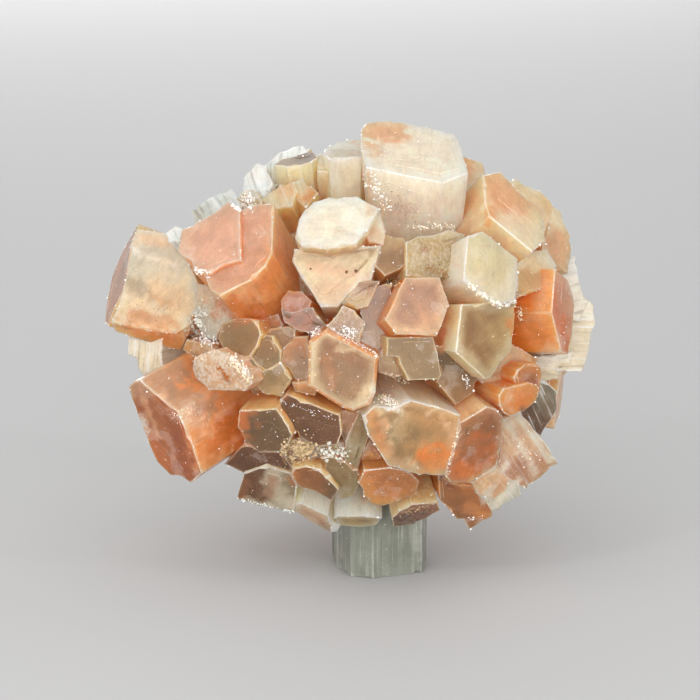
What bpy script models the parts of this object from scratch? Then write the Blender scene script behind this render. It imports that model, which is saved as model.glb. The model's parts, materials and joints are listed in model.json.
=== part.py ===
"""A cluster of intergrown aragonite crystals, standing on the flat end of its lowest crystal.

Six-sided twinned crystals spread from one middle and pass through each other. Those on the
front are laid out by hand, as they are seen from the front and a little from above. Those on
the back, where the same growth goes on, follow an even spread of directions over a ball.
All of them are joined in one solid. Units are metres, +Z is up, and the origin is the middle
of the flat face that the cluster stands on.
"""

import math
import random
from typing import NamedTuple, Optional

import bmesh
import bpy
from mathutils import Vector
from mathutils.geometry import intersect_line_plane

MM = 0.001

# The view that the front crystals are laid out in: X across, up and towards the viewer
VIEW_TILT = math.radians(12.0)
VIEW_DISTANCE = 700 * MM
RIGHT = Vector((1.0, 0.0, 0.0))
UP = Vector((0.0, math.sin(VIEW_TILT), math.cos(VIEW_TILT)))
TOWARDS = Vector((0.0, -math.cos(VIEW_TILT), math.sin(VIEW_TILT)))

# The round body that the crystal ends follow, measured from the middle of the view
BALL_MIDDLE = (0.0, 3.0, 0.0)
BALL_REACH = (36.0, 31.0, 29.0)
GROWTH_POINT = (0.0, 3.0, -4.0)

# The foot's rest face, as corners across and away from the viewer, and its place in the view
FOOT_HEIGHT = 12.0
FOOT_NEAR = 7.0
FOOT_LOW = -32.7
FOOT_CORNERS = [
    (3.3, 0.0), (0.1, 1.4), (-1.9, 6.5), (-2.6, 12.0), (0.5, 17.5),
    (7.5, 18.5), (11.0, 13.0), (10.9, 7.0), (10.2, 3.6),
]
FOOT_MIDDLE = (4.3, 9.2)

HIDDEN_MIDDLE = (2.5, 3.0, 1.5)
HIDDEN_REACH = (35.0, 30.0, 25.0)
HIDDEN_CRYSTALS = 70
HIDDEN_LENGTH = 16.0
HIDDEN_ROOT = 0.82
SEED = 11


class Crystal(NamedTuple):
    """One crystal as seen: the corners of its flat end in mm, and how it stands."""
    name: str
    corners: list
    proud: float = 0.0
    axis: Optional[tuple] = None
    near: Optional[float] = None
    length: float = 15.0
    chamfer: float = 0.0
    root: float = 0.88


TOP = [
    Crystal("top_block", [
        (1.5, 29.2), (1.6, 31.6), (2.4, 32.5), (5.5, 32.9), (11, 31.9), (14.8, 31), (15.6, 30),
        (16.9, 25.3), (13.3, 23.9), (8, 24.9), (2.3, 26.1)],
        axis=(0.0, 0.8, 0.6), near=16.0, length=14),
    Crystal("white_cube", [
        (-3.9, 28), (-3.6, 28.8), (-1.8, 29.7), (0.3, 30.1), (2.5, 30.1), (3, 28.6),
        (1.6, 27.6), (-1, 27.4), (-2.9, 27.3)],
        axis=(0.0, 0.94, 0.34), near=9.0, length=14),
    Crystal("white_cap", [
        (-6.5, 20), (-5.2, 21.2), (-3, 21.8), (1, 22), (4.2, 20.2), (2.8, 17.6), (0.8, 15.2),
        (-3.2, 14.4), (-7, 14.9), (-7.9, 16.2), (-7.3, 18.7)],
        proud=0.5),
    Crystal("pale_ledge", [
        (-8.3, 12.8), (-8, 14.5), (4.5, 15), (3.7, 12.5), (3, 10), (1.4, 9.8), (-1.8, 6.2),
        (-4.2, 6.2), (-5.5, 8.4), (-7, 10.4)],
        proud=-1.5),
    Crystal("pink_beige_wedge", [(4.2, 20.2), (5.2, 17), (4.8, 15), (2.8, 15.5), (1, 18)], proud=-1.0),
    Crystal("grey_cap", [
        (-11, 26.4), (-9, 26.2), (-7, 26.4), (-5.5, 26.9), (-4.6, 27.5), (-5, 28.2),
        (-6, 28.3), (-10, 27.2)],
        axis=(-0.12, 0.95, 0.3), near=10.0, length=12),
    Crystal("tan_sliver", [(-4.9, 27.6), (-4.3, 28.2), (-3, 27.9), (-2.7, 27), (-3.2, 25.5), (-4.7, 25.5)],
            axis=(0.0, 0.8, 0.6), near=9.5, length=10),
    Crystal("white_behind", [
        (-11.4, 27), (-10, 28.3), (-8, 29.1), (-6.7, 29.2), (-5.9, 28.3), (-6.5, 25), (-11, 25)],
        axis=(-0.2, 0.45, 0.87), near=6.0, length=9),
    Crystal("pinkish_panel", [(-13, 21.5), (-10, 23.7), (-8, 24.2), (-7.5, 22.8), (-8.3, 20.5), (-11, 20)],
            axis=(-0.3, 0.55, 0.78), near=15.0, length=12),
    Crystal("brown_strip", [(-8.4, 24), (-6.7, 24.6), (-4.5, 22.5), (-6.3, 20.3), (-7.6, 21.5)],
            axis=(-0.1, 0.6, 0.79), near=14.6, length=12),
    Crystal("rim_clear_a", [
        (-22.3, 18), (-22.7, 20), (-20, 21.9), (-18.5, 22.7), (-17, 23.1), (-15, 21.5), (-17, 18), (-20, 17)],
        axis=(-0.55, 0.6, 0.58), near=9.0, length=10),
    Crystal("rim_clear_b", [
        (-15.3, 23), (-15.2, 24.7), (-14.2, 26.1), (-13.2, 26.8), (-12, 26.3), (-11, 24), (-12, 21.5), (-15.6, 21.5)],
        axis=(-0.3, 0.65, 0.7), near=10.0, length=11),
    Crystal("rim_clear_c", [(-12.4, 26.3), (-11.2, 27.2), (-9.9, 26.6), (-9.5, 24), (-12, 23)],
            axis=(-0.25, 0.6, 0.76), near=8.6, length=9),
    Crystal("granular_patch", [(-16.3, 21.7), (-15.3, 22.9), (-13.3, 23), (-12.6, 21), (-14.5, 19.6)],
            axis=(-0.4, 0.55, 0.73), near=14.5, length=10),
    Crystal("peach_behind", [(15, 29), (16.3, 27.7), (19, 26.8), (19.4, 25.3), (17, 22), (14.5, 23)],
            axis=(0.3, 0.6, 0.74), near=10.5, length=11),
]

LEFT = [
    Crystal("left_block", [
        (-30.2, 18.1), (-31.5, 16), (-33, 13), (-34, 10.5), (-34.8, 6.5), (-35, 4), (-34.6, 3.4),
        (-33.7, 6), (-32.7, 8), (-32, 10), (-31.3, 15)],
        axis=(-0.93, 0.28, 0.2), near=3.0, length=15),
    Crystal("left_block_front", [
        (-30.5, 17.4), (-24.7, 16.4), (-21.7, 9.5), (-21.7, 6.8), (-23, 3.4), (-25, 2.3), (-29, 2.6),
        (-34.2, 3.9), (-32.5, 8.3), (-31.7, 12), (-31.2, 15)],
        axis=(-0.3, 0.1, 0.95), near=10.5, length=13),
    Crystal("left_block_under", [
        (-34.2, 3.9), (-33.5, 2.6), (-31, 1.7), (-28.5, 1), (-26, 0.2), (-24.2, -0.1), (-22.8, 3),
        (-25, 3), (-29, 3.4)],
        axis=(-0.3, -0.5, 0.81), near=9.2, length=11),
    Crystal("rim_tip_left", [(-26.4, 16.8), (-25, 17.8), (-24, 17.4), (-24, 15.5), (-26, 15.5)],
            axis=(-0.4, 0.5, 0.77), near=13.0, length=9),
    Crystal("clear_column", [
        (-31.8, 2.3), (-31.8, -0.6), (-31, -1), (-30.6, -1.2), (-30.4, -3), (-29.6, -3.7), (-28.4, -3.2),
        (-26.8, -2.6), (-26.8, 2.5)],
        axis=(-0.5, -0.1, 0.86), near=7.5, length=10),
    Crystal("pink_twin_left", [
        (-24.7, 14.2), (-24.5, 16), (-24, 17.3), (-20, 19.3), (-17.5, 21.2), (-15.8, 20.4), (-15.6, 12.9),
        (-18.2, 12.2), (-20, 11), (-22.3, 11.2), (-22.7, 12.9), (-24.2, 13.6)],
        axis=(-0.4, 0.5, 0.77), near=23.0, length=18),
    Crystal("pink_twin_right", [
        (-20.3, 9.4), (-20, 8.6), (-18.6, 7.8), (-14.2, 10), (-12.1, 12), (-11.1, 14), (-10.9, 20.9),
        (-12.8, 21), (-16, 20), (-21.5, 12)],
        axis=(-0.34, 0.53, 0.77), near=25.4, length=18),
    Crystal("grey_flat", [
        (-22, 9.5), (-18, 9), (-15.8, 6.5), (-15.5, 4), (-18.2, 3.8), (-19.2, 1.5), (-20.8, 1.5),
        (-22.3, 4)],
        proud=-7.0),
    Crystal("brown_facet_left", [(-23.4, 1.5), (-19.8, 1), (-19.5, -0.8), (-22, -1.2), (-24, 0)], proud=-6.0),
    Crystal("olive_left_big", [
        (-18.9, 1.7), (-18.3, 3.9), (-16, 4.6), (-14.2, 4.5), (-13.3, 4.2), (-12.7, 2.1), (-13.3, 0.5),
        (-14.3, -1), (-16.3, -1.2), (-17.7, -0.7)],
        proud=-3.0),
    Crystal("olive_mid", [
        (-13.4, 0.6), (-12.6, 2.2), (-11.1, 2), (-9.9, -0.1), (-9.9, -1.8), (-12.3, -3.3), (-14.1, -1)],
        proud=-3.2),
    Crystal("olive_mid_low", [
        (-14.2, -0.9), (-12.3, -3.2), (-9.9, -1.8), (-8.4, -4.2), (-8.7, -4.9), (-10, -6.9), (-12, -6.4),
        (-13.2, -5.5), (-14.4, -4), (-14.8, -2.6)],
        proud=-3.0),
    Crystal("olive_strip", [
        (-9.5, 0.3), (-8.1, 1.9), (-6.1, 2), (-5.5, -1), (-6, -4.4), (-7.9, -4.2), (-9.9, -1.8)],
        proud=-3.0),
    Crystal("tan_upper", [(-12.6, 2.2), (-11.5, 3.1), (-8.9, 3.4), (-7.8, 2.9), (-8, 1.5), (-10, -0.5), (-11.1, 1.6)],
            proud=-4.0),
    Crystal("orange_knob", [
        (-9.9, 7), (-9.6, 7.6), (-8.8, 8.6), (-7, 8.4), (-5.5, 7), (-6, 5.6), (-8, 4.9), (-9.8, 5.4)],
        proud=-3.6),
    Crystal("olive_upper", [
        (-9.9, 5.8), (-8.2, 5.4), (-6.3, 6.1), (-5.3, 6.1), (-4.6, 4.9), (-3.2, 3.4), (-5.5, 2.4),
        (-7, 2.6), (-8, 3), (-9.4, 4)],
        proud=-3.0),
    Crystal("mauve_chip", [(-12.6, 4.5), (-10.4, 5.2), (-9.5, 3.5), (-11.2, 2.6), (-12.6, 2.6)], proud=-6.0),
    Crystal("cream_rough_cap", [
        (-22.3, -1.1), (-20.2, -0.2), (-19, 0.1), (-17.8, -0.7), (-16.2, -1.3), (-15.6, -2.5),
        (-14.4, -3.3), (-14, -4.8), (-15.1, -5.9), (-18, -5.8), (-20.1, -5.7), (-22, -4.1), (-22.6, -2.6)],
        proud=-0.6),
    Crystal("orange_lower_left", [
        (-31.7, -5.3), (-31.2, -7), (-30, -10.3), (-28.6, -13.8), (-27.6, -16), (-25.7, -17.9),
        (-24.4, -18), (-22.8, -19), (-21.2, -17.6), (-22.4, -13.8), (-24, -10.2), (-24.6, -8.8),
        (-27.5, -6.5), (-30, -4.3), (-30.9, -4.5)],
        axis=(-0.68, -0.42, 0.6), near=16.5, length=17, root=0.95),
]

MIDDLE = [
    Crystal("centre_hexagon", [
        (-5.9, 1.2), (-3.4, 2.9), (4.1, -0.9), (3.7, -6), (2.9, -7.9), (0.5, -8.8), (-1, -8.4),
        (-6.1, -5.2)],
        proud=1.6, chamfer=0.5),
    Crystal("grey_small", [
        (-1.9, 5), (-1, 6.4), (0.6, 5.7), (2.2, 3.9), (1.3, 0.8), (-2, 1.8), (-3.4, 3.4)],
        proud=-0.2),
    Crystal("brown_valley", [(0.5, 9), (6, 9.5), (6, 4), (5.5, 0), (4, -1.5), (1, 0), (1.8, 4)], proud=-3.0),
    Crystal("beige_facets", [(-1.2, 6.6), (0.1, 8.4), (1.3, 9.9), (4.3, 9.9), (3, 7), (2.6, 6.2), (1, 5.8)],
            proud=-1.4),
    Crystal("glossy_brown", [(3.6, 12), (4.8, 16.6), (7.6, 16.1), (8.4, 15), (8.2, 12), (5, 10.6)], proud=-1.4),
    Crystal("mauve_hexagon", [
        (7.9, 10.4), (12.8, 10.4), (14.2, 6.5), (12.5, 2), (6.7, 2.2), (5, 4.3), (7.1, 8.9)],
        proud=1.6),
    Crystal("green_wedge", [
        (8, 15.4), (9.8, 16.3), (11.8, 16.4), (14, 17.2), (16.5, 16.6), (14.8, 12.5), (12.8, 10.2), (8, 10.6)],
        proud=-1.2),
    Crystal("greenish_hexagon", [
        (5.3, 1.8), (11.9, 1.9), (12.5, -0.2), (13.1, -3.6), (12.6, -4.2), (8.3, -4.4), (7.2, -2),
        (6.9, -1), (5.2, -0.9)],
        proud=0.2),
    Crystal("gap_chip", [(4, -0.5), (5.4, 1), (7, -0.8), (8.5, -3.4), (6.4, -4), (4, -3.2)], proud=-1.6),
    Crystal("brown_crystal", [
        (-10.1, -7.3), (-9, -6.3), (-1.4, -9.3), (-1.2, -12), (-1.8, -13.6), (-5, -13.8), (-7.2, -12.4),
        (-9, -10.6), (-9.9, -9)],
        proud=-0.6),
    Crystal("orange_bow", [(-8.4, -4.7), (-6.2, -4.4), (-4.7, -5.6), (-5, -6.6), (-7.8, -6)], proud=-1.6),
    Crystal("olive_lower_left", [
        (-15.8, -8.6), (-10.5, -8.4), (-9.6, -9.7), (-8.8, -11), (-8.3, -12.2), (-8.9, -13.6),
        (-10, -14.6), (-13, -14.7), (-15, -13), (-16.1, -11), (-16.2, -10)],
        proud=0.6),
    Crystal("lower_middle", [
        (3.5, -8), (6.1, -8.3), (8.7, -7.2), (12.7, -8.2), (15.8, -9.3), (15.4, -12.4), (13.6, -18),
        (10, -17.9), (5.4, -16.5), (2.6, -12.2), (1.8, -9.6)],
        proud=0.8),
    Crystal("shard_a", [(-1.4, -8.6), (1.3, -8.8), (0.6, -10.5), (-0.9, -13.2), (-1.6, -11)], proud=-1.4),
    Crystal("shard_b", [
        (1.3, -8.6), (3.8, -8), (3.2, -10), (2.6, -12.6), (1.8, -15), (1.2, -17), (0.3, -17),
        (-0.9, -15.5), (-0.7, -13)],
        proud=-1.2),
    Crystal("shard_c", [(2.8, -12.8), (5.2, -16.4), (5, -17.3), (1.6, -17.5), (1.6, -15)], proud=-1.8),
    Crystal("druse_left", [(-9.3, -13), (-7, -12.4), (-5, -13.6), (-4.8, -15.4), (-6.6, -17), (-8.5, -16.8), (-9.8, -15)],
            proud=-1.6),
    Crystal("druse_right", [(-5, -13.4), (-1, -13.2), (0, -15), (-0.6, -16.2), (-3, -15.6), (-5, -15.4)],
            proud=-1.6),
]

RIGHT_SIDE = [
    Crystal("right_shoulder", [
        (19, 25.1), (21.6, 25.5), (24.1, 22.6), (27.5, 20.1), (28, 15.6), (26.1, 14), (19.9, 19.1),
        (19.3, 21)],
        axis=(0.55, 0.5, 0.67), near=17.4, length=15),
    Crystal("tan_behind_right", [
        (23, 24.2), (23.9, 24.5), (26.6, 22.9), (27.3, 22.8), (29.2, 20.9), (28, 15), (24, 17)],
        axis=(0.5, 0.45, 0.74), near=11.0, length=12),
    Crystal("orange_behind_right", [
        (29, 20.9), (30.3, 19.7), (30.6, 18.1), (31.5, 16.4), (31.8, 15), (31.2, 11), (27.5, 13), (27.5, 18)],
        axis=(0.72, 0.3, 0.62), near=10.0, length=12),
    Crystal("pale_green_hexagon", [
        (16.8, 16.3), (19, 17), (24, 13.1), (24.1, 10), (23.7, 7), (21.3, 6.4), (16.2, 9.9)],
        proud=2.2),
    Crystal("tan_wedge", [(24, 12.5), (26, 14.2), (28.2, 14.4), (29.6, 12), (28, 8.9), (23.8, 7.4)],
            axis=(0.55, 0.3, 0.78), near=17.5, length=13),
    Crystal("orange_right", [
        (29.3, 11.7), (31.2, 10), (31.8, 8), (32.1, 6.3), (31.7, 2), (31.2, -0.6), (30.2, -0.3),
        (28.8, 5.3)],
        axis=(0.9, 0.02, 0.43), near=15.0, length=14, root=0.95),
    Crystal("olive_big", [
        (15.9, 6.5), (23.8, 7), (23.5, 3), (23, -0.2), (21.8, -1.6), (20.2, -3.9), (19.3, -4.2),
        (15.1, -0.3), (15.5, 3)],
        proud=0.6),
    Crystal("olive_recess", [
        (12.2, 0.6), (15, 0.6), (18.4, -4), (17.6, -6.2), (15.1, -7.9), (12.4, -4.6), (13, -3.4), (12, -1)],
        proud=-2.2),
    Crystal("small_orange_low", [
        (21.3, -6.5), (22, -5.5), (23.6, -5.1), (25.5, -4.6), (26.8, -5), (27.2, -5.9), (26.5, -7.4),
        (25, -8.7), (22.8, -9.5), (22, -9), (21.4, -8)],
        axis=(0.62, -0.22, 0.75), near=19.4, length=12),
    Crystal("small_orange_high", [
        (23.4, -4), (23.9, -2.9), (25, -2), (26.5, -1.9), (27.3, -2.5), (27.5, -3.5), (27.2, -6), (24, -6)],
        axis=(0.62, -0.18, 0.76), near=17.9, length=11),
    Crystal("orange_panel", [(18, -4), (21, -2.5), (23, 1), (27, -1.3), (26, -3), (22, -6.5), (20.5, -6)],
            axis=(0.45, -0.05, 0.89), near=16.6, length=12),
    Crystal("orange_lower_hexagon", [
        (15.7, -10.4), (19.6, -8.1), (21, -8.5), (21.8, -9.6), (21.8, -12.8), (21.3, -15.3),
        (20.9, -16.4), (17.1, -19.1), (14.3, -18.9), (13.6, -18), (14.4, -14), (15.3, -12.5)],
        proud=0.4),
    Crystal("dark_patch", [(21.3, -9), (24.4, -8.6), (25, -10), (23, -11.8), (21.5, -12.5)],
            axis=(0.5, -0.4, 0.77), near=15.0, length=10),
    Crystal("clear_lower_right", [
        (24, -8.6), (27, -4), (28.2, -4.5), (29.6, -6), (29.6, -8.6), (27.3, -12.4), (25, -11)],
        axis=(0.5, -0.2, 0.84), near=11.0, length=11),
    Crystal("striated_block", [
        (24.4, -8.9), (27.5, -12.6), (29.8, -16.2), (25.1, -20.1), (22.4, -18.4), (20.8, -16.5), (21.3, -10)],
        axis=(0.45, -0.36, 0.82), near=14.0, length=13),
    Crystal("comb_block", [
        (21.6, -15.5), (24.5, -18), (24.6, -20.8), (23.7, -21.2), (21.7, -22.3), (21.6, -23.1), (20.3, -23.1),
        (18, -20.5), (19, -17)],
        axis=(0.4, -0.42, 0.81), near=12.8, length=12),
    Crystal("peach_patch", [(17.3, -19), (20.8, -16.5), (22.6, -18.4), (22.6, -20), (20.6, -21.3), (18.3, -20.7)],
            axis=(0.45, -0.45, 0.77), near=14.2, length=12),
    Crystal("brown_lower_block", [
        (12.5, -17.6), (14.2, -18.7), (17.4, -19.4), (20.4, -22), (20.4, -23.8), (18.9, -24.6), (17.1, -25.7),
        (16.2, -24.2), (15.3, -24.2), (12.9, -21.5)],
        axis=(0.32, -0.55, 0.77), near=13.0, length=12),
    Crystal("rim_columns_upper", [
        (31.2, 14.8), (31.8, 13.6), (32.3, 13.3), (33.5, 7.3), (34.2, 7), (33, 4), (29.5, 4), (28.5, 13)],
        axis=(0.5, 0.1, 0.86), near=9.5, length=12),
    Crystal("rim_columns_middle", [
        (33, 8), (34.3, 7), (35, 6.4), (35.1, 4), (34.3, 0.8), (33.7, -2.5), (33.1, -3.2), (29.5, -3.1), (30, 8)],
        axis=(0.4, -0.02, 0.92), near=8.5, length=12),
    Crystal("rim_columns_lower", [
        (32, 0), (31, -3.1), (30.2, -3.1), (29.7, -4.2), (28.3, -4.4), (26.5, -4.6), (26, -1)],
        axis=(0.35, -0.2, 0.92), near=9.8, length=12),
]

BOTTOM = [
    Crystal("orange_brown_lower", [
        (1.1, -19), (2, -17.2), (5.7, -16.8), (8.5, -17.3), (9.9, -18.8), (9.5, -20.5), (7, -21.7),
        (4.7, -22.3), (3, -22), (1.9, -20.9), (1.9, -20)],
        proud=0.6, length=12),
    Crystal("brown_lower_right", [
        (6, -24), (7, -23), (8.8, -22.1), (12.6, -21.7), (12.9, -22.9), (11.3, -23.8), (9.2, -24.9),
        (6.2, -25.3)],
        axis=(0.22, -0.86, 0.46), near=13.5, length=12),
    Crystal("white_prism_left", [
        (-8, -23), (-7.9, -22.1), (-6.9, -21.9), (-4.5, -23.1), (-3.2, -23.6), (-2.5, -24.8), (-2.5, -26.1),
        (-3.2, -26), (-5, -25)],
        axis=(-0.2, -0.86, 0.47), near=12.0, length=10, root=0.95),
    Crystal("white_prism_right", [
        (-2.3, -24.1), (-1.8, -23.7), (2.6, -23.7), (4.6, -24.1), (3.7, -25.1), (1.5, -25.4), (-1.5, -25.1)],
        axis=(0.0, -0.88, 0.47), near=12.6, length=10, root=0.95),
    Crystal("olive_end_left", [
        (-8.4, -17), (-6.3, -16.6), (-4.3, -17.1), (-2.9, -18.2), (-1.6, -20), (-2.6, -21.6), (-5, -20.2),
        (-7.3, -19.6), (-8.4, -18.2)],
        proud=0.4, length=12),
    Crystal("olive_end_right", [
        (-4.3, -15.5), (-3, -15), (-0.7, -16), (1.2, -17.2), (1.4, -19.2), (0.4, -21), (-1.5, -21.5), (-2.8, -18.5)],
        proud=-0.4, length=12),
    Crystal("grey_white_block", [
        (-15.2, -17.6), (-16, -20.3), (-16.2, -20.8), (-16, -21.4), (-13, -22.3), (-8, -23.4), (-7.6, -19.2),
        (-8.5, -17.6), (-12, -16.5)],
        axis=(-0.28, -0.5, 0.82), near=14.2, length=12),
    Crystal("brown_steps", [
        (-18, -16.3), (-15.2, -13.3), (-12.5, -14.4), (-9.6, -14.4), (-8.3, -17), (-10, -18.6), (-15.2, -17.6)],
        axis=(-0.3, -0.42, 0.86), near=15.6, length=12),
    Crystal("white_chip", [(-2.7, -24.5), (-1.2, -25), (-1.8, -26), (-2.8, -26.2)],
            axis=(0.0, -0.5, 0.87), near=11.0, length=6),
]

FRONT_CRYSTALS = TOP + LEFT + MIDDLE + RIGHT_SIDE + BOTTOM


def middle_of_view():
    """The point that the view looks at, placed so that the rest face lies at the origin."""
    scale = (VIEW_DISTANCE - FOOT_NEAR * MM) / VIEW_DISTANCE
    foot_front = UP * (FOOT_LOW * MM * scale) + TOWARDS * (FOOT_NEAR * MM)
    front_corner = Vector((0.0, (FOOT_CORNERS[0][1] - FOOT_MIDDLE[1]) * MM, 0.0))
    return front_corner - foot_front - RIGHT * (FOOT_MIDDLE[0] * MM)


MIDDLE_OF_VIEW = middle_of_view()


def in_room(right, up, near):
    """A direction or an offset given in the view, turned to the model's own axes."""
    return RIGHT * right + UP * up + TOWARDS * near


def sight(u, v):
    """The line of sight through the point seen at u, v mm from the middle of the view."""
    eye = MIDDLE_OF_VIEW + TOWARDS * VIEW_DISTANCE
    return eye, MIDDLE_OF_VIEW + in_room(u * MM, v * MM, 0.0)


def ball_near(u, v):
    """How far the round body reaches towards the viewer at u, v, in mm."""
    across = (u - BALL_MIDDLE[0]) / BALL_REACH[0]
    above = (v - BALL_MIDDLE[1]) / BALL_REACH[1]
    return BALL_REACH[2] * math.sqrt(max(0.04, 1.0 - across * across - above * above))


def flat_end(crystal):
    """The corners of a front crystal's flat end, and the way the crystal points."""
    u = sum(corner[0] for corner in crystal.corners) / len(crystal.corners)
    v = sum(corner[1] for corner in crystal.corners) / len(crystal.corners)
    near = crystal.near if crystal.near is not None else ball_near(u, v) + crystal.proud
    axis = crystal.axis
    if axis is None:
        axis = (u - GROWTH_POINT[0], v - GROWTH_POINT[1], near - GROWTH_POINT[2])
    axis = in_room(*axis).normalized()
    scale = (VIEW_DISTANCE - near * MM) / VIEW_DISTANCE
    centre = MIDDLE_OF_VIEW + in_room(u * MM * scale, v * MM * scale, near * MM)
    corners = []
    for corner in crystal.corners:
        eye, seen = sight(*corner)
        corners.append(intersect_line_plane(eye, seen, centre, axis))
    return corners, axis


def prism_mesh(name, rings):
    """A closed mesh through rings of corners, from the crystal's end down to its root."""
    count = len(rings[0])
    points = [point for ring in rings for point in ring]
    faces = [tuple(range(count))]
    for level in range(len(rings) - 1):
        for i in range(count):
            j = (i + 1) % count
            a, b = level * count + i, level * count + j
            faces.append((a, a + count, b + count, b))
    last = (len(rings) - 1) * count
    faces.append(tuple(range(last + count - 1, last - 1, -1)))
    mesh = bpy.data.meshes.new(name)
    mesh.from_pydata(points, [], faces)
    mesh.validate()
    return mesh


def wound(corners, axis):
    """The corners in the order that makes the end face point along the axis."""
    middle = sum(corners, Vector()) / len(corners)
    area = Vector()
    for i, corner in enumerate(corners):
        area += (corner - middle).cross(corners[(i + 1) % len(corners)] - middle)
    return corners if area.dot(axis) > 0 else list(reversed(corners))


def crystal_rings(corners, axis, length, root, chamfer=0.0):
    """Rings of corners from the flat end, over a chamfer if there is one, down to the root."""
    corners = wound(corners, axis)
    middle = sum(corners, Vector()) / len(corners)
    rings = []
    if chamfer:
        spread = sum((corner - middle).length for corner in corners) / len(corners)
        rings.append([middle + (corner - middle) * (1 - chamfer * MM / spread) for corner in corners])
        rings.append([corner - axis * (chamfer * MM) for corner in corners])
    else:
        rings.append(corners)
    rings.append([middle + (corner - middle) * root - axis * (length * MM) for corner in corners])
    return rings


def guide(mesh):
    """A shape that is only there to be joined into the cluster."""
    obj = bpy.data.objects.new(mesh.name, mesh)
    obj.hide_render = True
    obj.display_type = "WIRE"
    CRYSTALS.objects.link(obj)
    return obj


def add_front_crystals():
    for crystal in FRONT_CRYSTALS:
        corners, axis = flat_end(crystal)
        rings = crystal_rings(corners, axis, crystal.length, crystal.root, crystal.chamfer)
        guide(prism_mesh(crystal.name, rings))


def hidden_directions(count):
    """Directions over the ball, evenly spread, that the front view doesn't show."""
    turn = math.pi * (3.0 - math.sqrt(5.0))
    for i in range(count * 2):
        near = 1.0 - (i + 0.5) / count
        ring = math.sqrt(max(0.0, 1.0 - near * near))
        right, up = ring * math.cos(turn * i), ring * math.sin(turn * i)
        if near < -0.12 and up > -0.93:
            yield Vector((right, up, near))


def add_hidden_crystals():
    chance = random.Random(SEED)
    for i, way in enumerate(hidden_directions(HIDDEN_CRYSTALS)):
        reach = 0.78 - 0.18 * way.z + 0.05 * chance.uniform(-1, 1)
        tip = Vector([way[k] * HIDDEN_REACH[k] * reach for k in range(3)])
        tip += Vector(HIDDEN_MIDDLE)
        axis = tip - Vector(GROWTH_POINT)
        axis = axis.normalized() + Vector([chance.uniform(-0.2, 0.2) for _ in range(3)])
        axis = in_room(*axis).normalized()
        centre = MIDDLE_OF_VIEW + in_room(*(tip * MM))
        side = axis.orthogonal().normalized()
        other = axis.cross(side)
        across = chance.triangular(3.8, 8.2, 5.2)
        start = chance.uniform(0, math.tau)
        corners = []
        for k in range(6):
            angle = start + math.tau * k / 6 + chance.uniform(-0.16, 0.16)
            radius = across * chance.uniform(0.86, 1.1) * MM
            corners.append(centre + side * (radius * math.cos(angle)) + other * (radius * math.sin(angle)))
        rings = crystal_rings(corners, axis, HIDDEN_LENGTH, HIDDEN_ROOT)
        guide(prism_mesh(f"hidden_{i:02d}", rings))


def add_foot():
    """The lowest crystal, cut off flat where it rests, with its sides nearly upright."""
    bottom = []
    top = []
    for across, away in FOOT_CORNERS:
        x, y = (across - FOOT_MIDDLE[0]) * MM, (away - FOOT_MIDDLE[1]) * MM
        bottom.append(Vector((x, y, 0.0)))
        top.append(Vector((x * 1.03, y * 1.03, FOOT_HEIGHT * MM)))
    rings = [wound(top, Vector((0, 0, 1)))]
    order = [top.index(corner) for corner in rings[0]]
    rings.append([bottom[i] for i in order])
    guide(prism_mesh("foot", rings))


def add_core():
    """The middle that all crystals grow out of."""
    reach = Vector((25.0, 20.0, 19.0)) * MM
    bpy.ops.mesh.primitive_ico_sphere_add(subdivisions=2, radius=1.0)
    core = bpy.context.object
    core.name = "aragonite_cluster"
    middle = MIDDLE_OF_VIEW + in_room(BALL_MIDDLE[0] * MM, BALL_MIDDLE[1] * MM, BALL_MIDDLE[2] * MM)
    for vertex in core.data.vertices:
        x, y, z = vertex.co
        vertex.co = middle + in_room(x * reach[0], y * reach[1], z * reach[2])
    return core


def surfaces(faces):
    """The separate closed surfaces that a set of faces falls into."""
    left = set(faces)
    while left:
        surface = {left.pop()}
        edge_of_search = list(surface)
        while edge_of_search:
            face = edge_of_search.pop()
            beside = {other for edge in face.edges for other in edge.link_faces}
            new = (beside & left) - surface
            surface |= new
            left -= new
            edge_of_search.extend(new)
        yield surface


def join_crystals(core):
    """Joins all crystals and the core in one solid, with the pockets sealed inside it filled."""
    join = core.modifiers.new("join crystals", "BOOLEAN")
    join.operation = "UNION"
    join.operand_type = "COLLECTION"
    join.collection = CRYSTALS
    join.solver = "EXACT"
    evaluated = core.evaluated_get(bpy.context.evaluated_depsgraph_get())
    joined = bmesh.new()
    joined.from_mesh(evaluated.to_mesh())
    parts = sorted(surfaces(joined.faces), key=len)
    for pocket in parts[:-1]:
        bmesh.ops.delete(joined, geom=list(pocket), context="FACES")
    core.modifiers.clear()
    joined.to_mesh(core.data)
    joined.free()
    print("crystals joined, pockets filled:", len(parts) - 1)


def stone_material():
    material = bpy.data.materials.new("aragonite")
    material.use_nodes = True
    shader = material.node_tree.nodes["Principled BSDF"]
    shader.inputs["Base Color"].default_value = (0.62, 0.42, 0.30, 1.0)
    shader.inputs["Roughness"].default_value = 0.3
    shader.inputs["Metallic"].default_value = 0.0
    return material


for old in list(bpy.data.objects):
    bpy.data.objects.remove(old, do_unlink=True)

CRYSTALS = bpy.data.collections.new("crystals")
bpy.context.scene.collection.children.link(CRYSTALS)

cluster = add_core()
add_front_crystals()
add_hidden_crystals()
add_foot()
join_crystals(cluster)
cluster.data.materials.append(stone_material())
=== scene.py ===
# %% [markdown]
# A cluster of aragonite crystals
#
# The real thing is a ball of six-sided crystals that grew out of one middle and through each
# other: milky, white to peach and olive, with clear striated ones round the rim, and it stands
# on the broken end of its lowest crystal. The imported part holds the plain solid. This script
# dresses it: finer crystals on the same places, colour that changes from face to face, and the
# tiny white grains that sit in the hollows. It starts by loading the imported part, because every
# piece here has to stay where the part is.

import json
import math
import random
from typing import NamedTuple, Optional

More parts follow.
